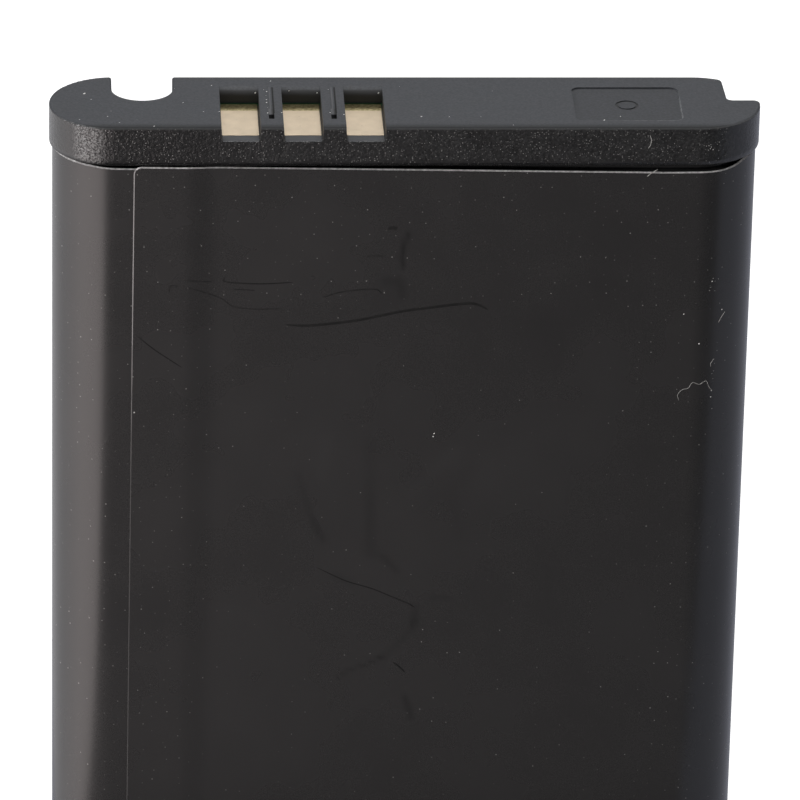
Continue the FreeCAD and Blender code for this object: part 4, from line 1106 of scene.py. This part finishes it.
# The turn from the front round the left to the back, as a share from 0 to 1
lit_turn = calc(lit_paint, "ARCTAN2", lit_y, calc(lit_paint, "SUBTRACT", LIT_CENTRE, lit_x))
lit_share = calc(lit_paint, "ADD", calc(lit_paint, "DIVIDE", lit_turn, math.pi), 0.5)
drive(lit_paint, "Emission Color", colours(lit_paint, lit_share, *LIT_TONES))
lit_table = table_sheet("lit_table", LIT_CORNERS, LIT_HEIGHT, lit_paint)
lit_table.visible_camera = False
lit_table.visible_shadow = False

# Grey screen: a plain board that stands behind the pack, also for reflections alone. It keeps the cap's roof
# dark below the lamp over it.
SCREEN_BACK = 300 * MM
SCREEN_HALF = 500 * MM
SCREEN_TOP = 230 * MM
SCREEN_TONE = (0.22, 0.235, 0.27, 1)
screen_ends = ((-SCREEN_HALF, 0), (SCREEN_HALF, 0), (SCREEN_HALF, SCREEN_TOP), (-SCREEN_HALF, SCREEN_TOP))
screen = flat_sheet("grey_screen", [(x, SCREEN_BACK, z) for x, z in screen_ends])
screen.data.materials.append(glowing("screen_paint", SCREEN_TONE))
reflection_only(screen)

# Light: a lamp behind the pack, a broad soft box overhead, a small lamp at the left, and an even white
# surrounding. Each lamp has its place, width, depth and watts.
SURROUND_LIGHT = 0.25
BACK_LAMP = ((0, 450 * MM, 420 * MM), 140 * MM, 90 * MM, 0.195)
SOFT_BOX = ((0, 0, 700 * MM), 500 * MM, 500 * MM, 2.5)
SIDE_LAMP = ((-600 * MM, -150 * MM, 220 * MM), 150 * MM, 150 * MM, 3.2)


def area_lamp(name, spot, width, depth, watts, aim):
    """Rectangular lamp at a spot, shining along a direction."""
    lamp = bpy.data.lights.new(name, "AREA")
    lamp.shape = "RECTANGLE"
    lamp.size = width
    lamp.size_y = depth
    lamp.energy = watts
    holder = bpy.data.objects.new(name, lamp)
    holder.location = spot
    holder.rotation_mode = "QUATERNION"
    holder.rotation_quaternion = Vector(aim).to_track_quat("-Z", "Y")
    holder.visible_camera = False
    bpy.context.scene.collection.objects.link(holder)


area_lamp("back_lamp", *BACK_LAMP, Vector((0, 0, cap_high.z)) - Vector(BACK_LAMP[0]))
area_lamp("soft_box", *SOFT_BOX, (0, 0, -1))
area_lamp("side_lamp", *SIDE_LAMP, Vector((0, 0, cap_high.z)) - Vector(SIDE_LAMP[0]))

world = bpy.data.worlds.new("white_surround")
world.use_nodes = True
bpy.context.scene.world = world
sky = world.node_tree.nodes["Background"]
sky.inputs["Color"].default_value = (1, 1, 1, 1)
sky_strength = calc(world, "MAXIMUM", direct_rays(world), SURROUND_LIGHT)
world.node_tree.links.new(sky_strength, sky.inputs["Strength"])

# Camera: a long lens a little to the left of the front and above, as in the photo. It is tipped so that the
# cap's edges are level.
CAMERA_AZIMUTH = math.radians(-3.091)
CAMERA_ELEVATION = math.radians(25.653)
CAMERA_DISTANCE = 419.75 * MM
CAMERA_AIM = Vector((-0.115 * MM, -3.2 * MM, 38.394 * MM))
CAMERA_ROLL = math.radians(1.233)
CAMERA_LENS = 350.5
CAMERA_NEAR = 10 * MM
CAMERA_FAR = 20.0
backward = Vector((
    math.sin(CAMERA_AZIMUTH) * math.cos(CAMERA_ELEVATION),
    -math.cos(CAMERA_AZIMUTH) * math.cos(CAMERA_ELEVATION),
    math.sin(CAMERA_ELEVATION),
))
camera_data = bpy.data.cameras.new("camera")
camera_data.lens = CAMERA_LENS
camera_data.clip_start = CAMERA_NEAR
camera_data.clip_end = CAMERA_FAR
camera = bpy.data.objects.new("camera", camera_data)
camera.location = CAMERA_AIM + CAMERA_DISTANCE * backward
camera.rotation_mode = "QUATERNION"
camera.rotation_quaternion = (-backward).to_track_quat("-Z", "Y") @ Quaternion((0, 0, 1), CAMERA_ROLL)
bpy.context.scene.collection.objects.link(camera)
bpy.context.scene.camera = camera
bpy.context.scene.view_settings.view_transform = "Standard"
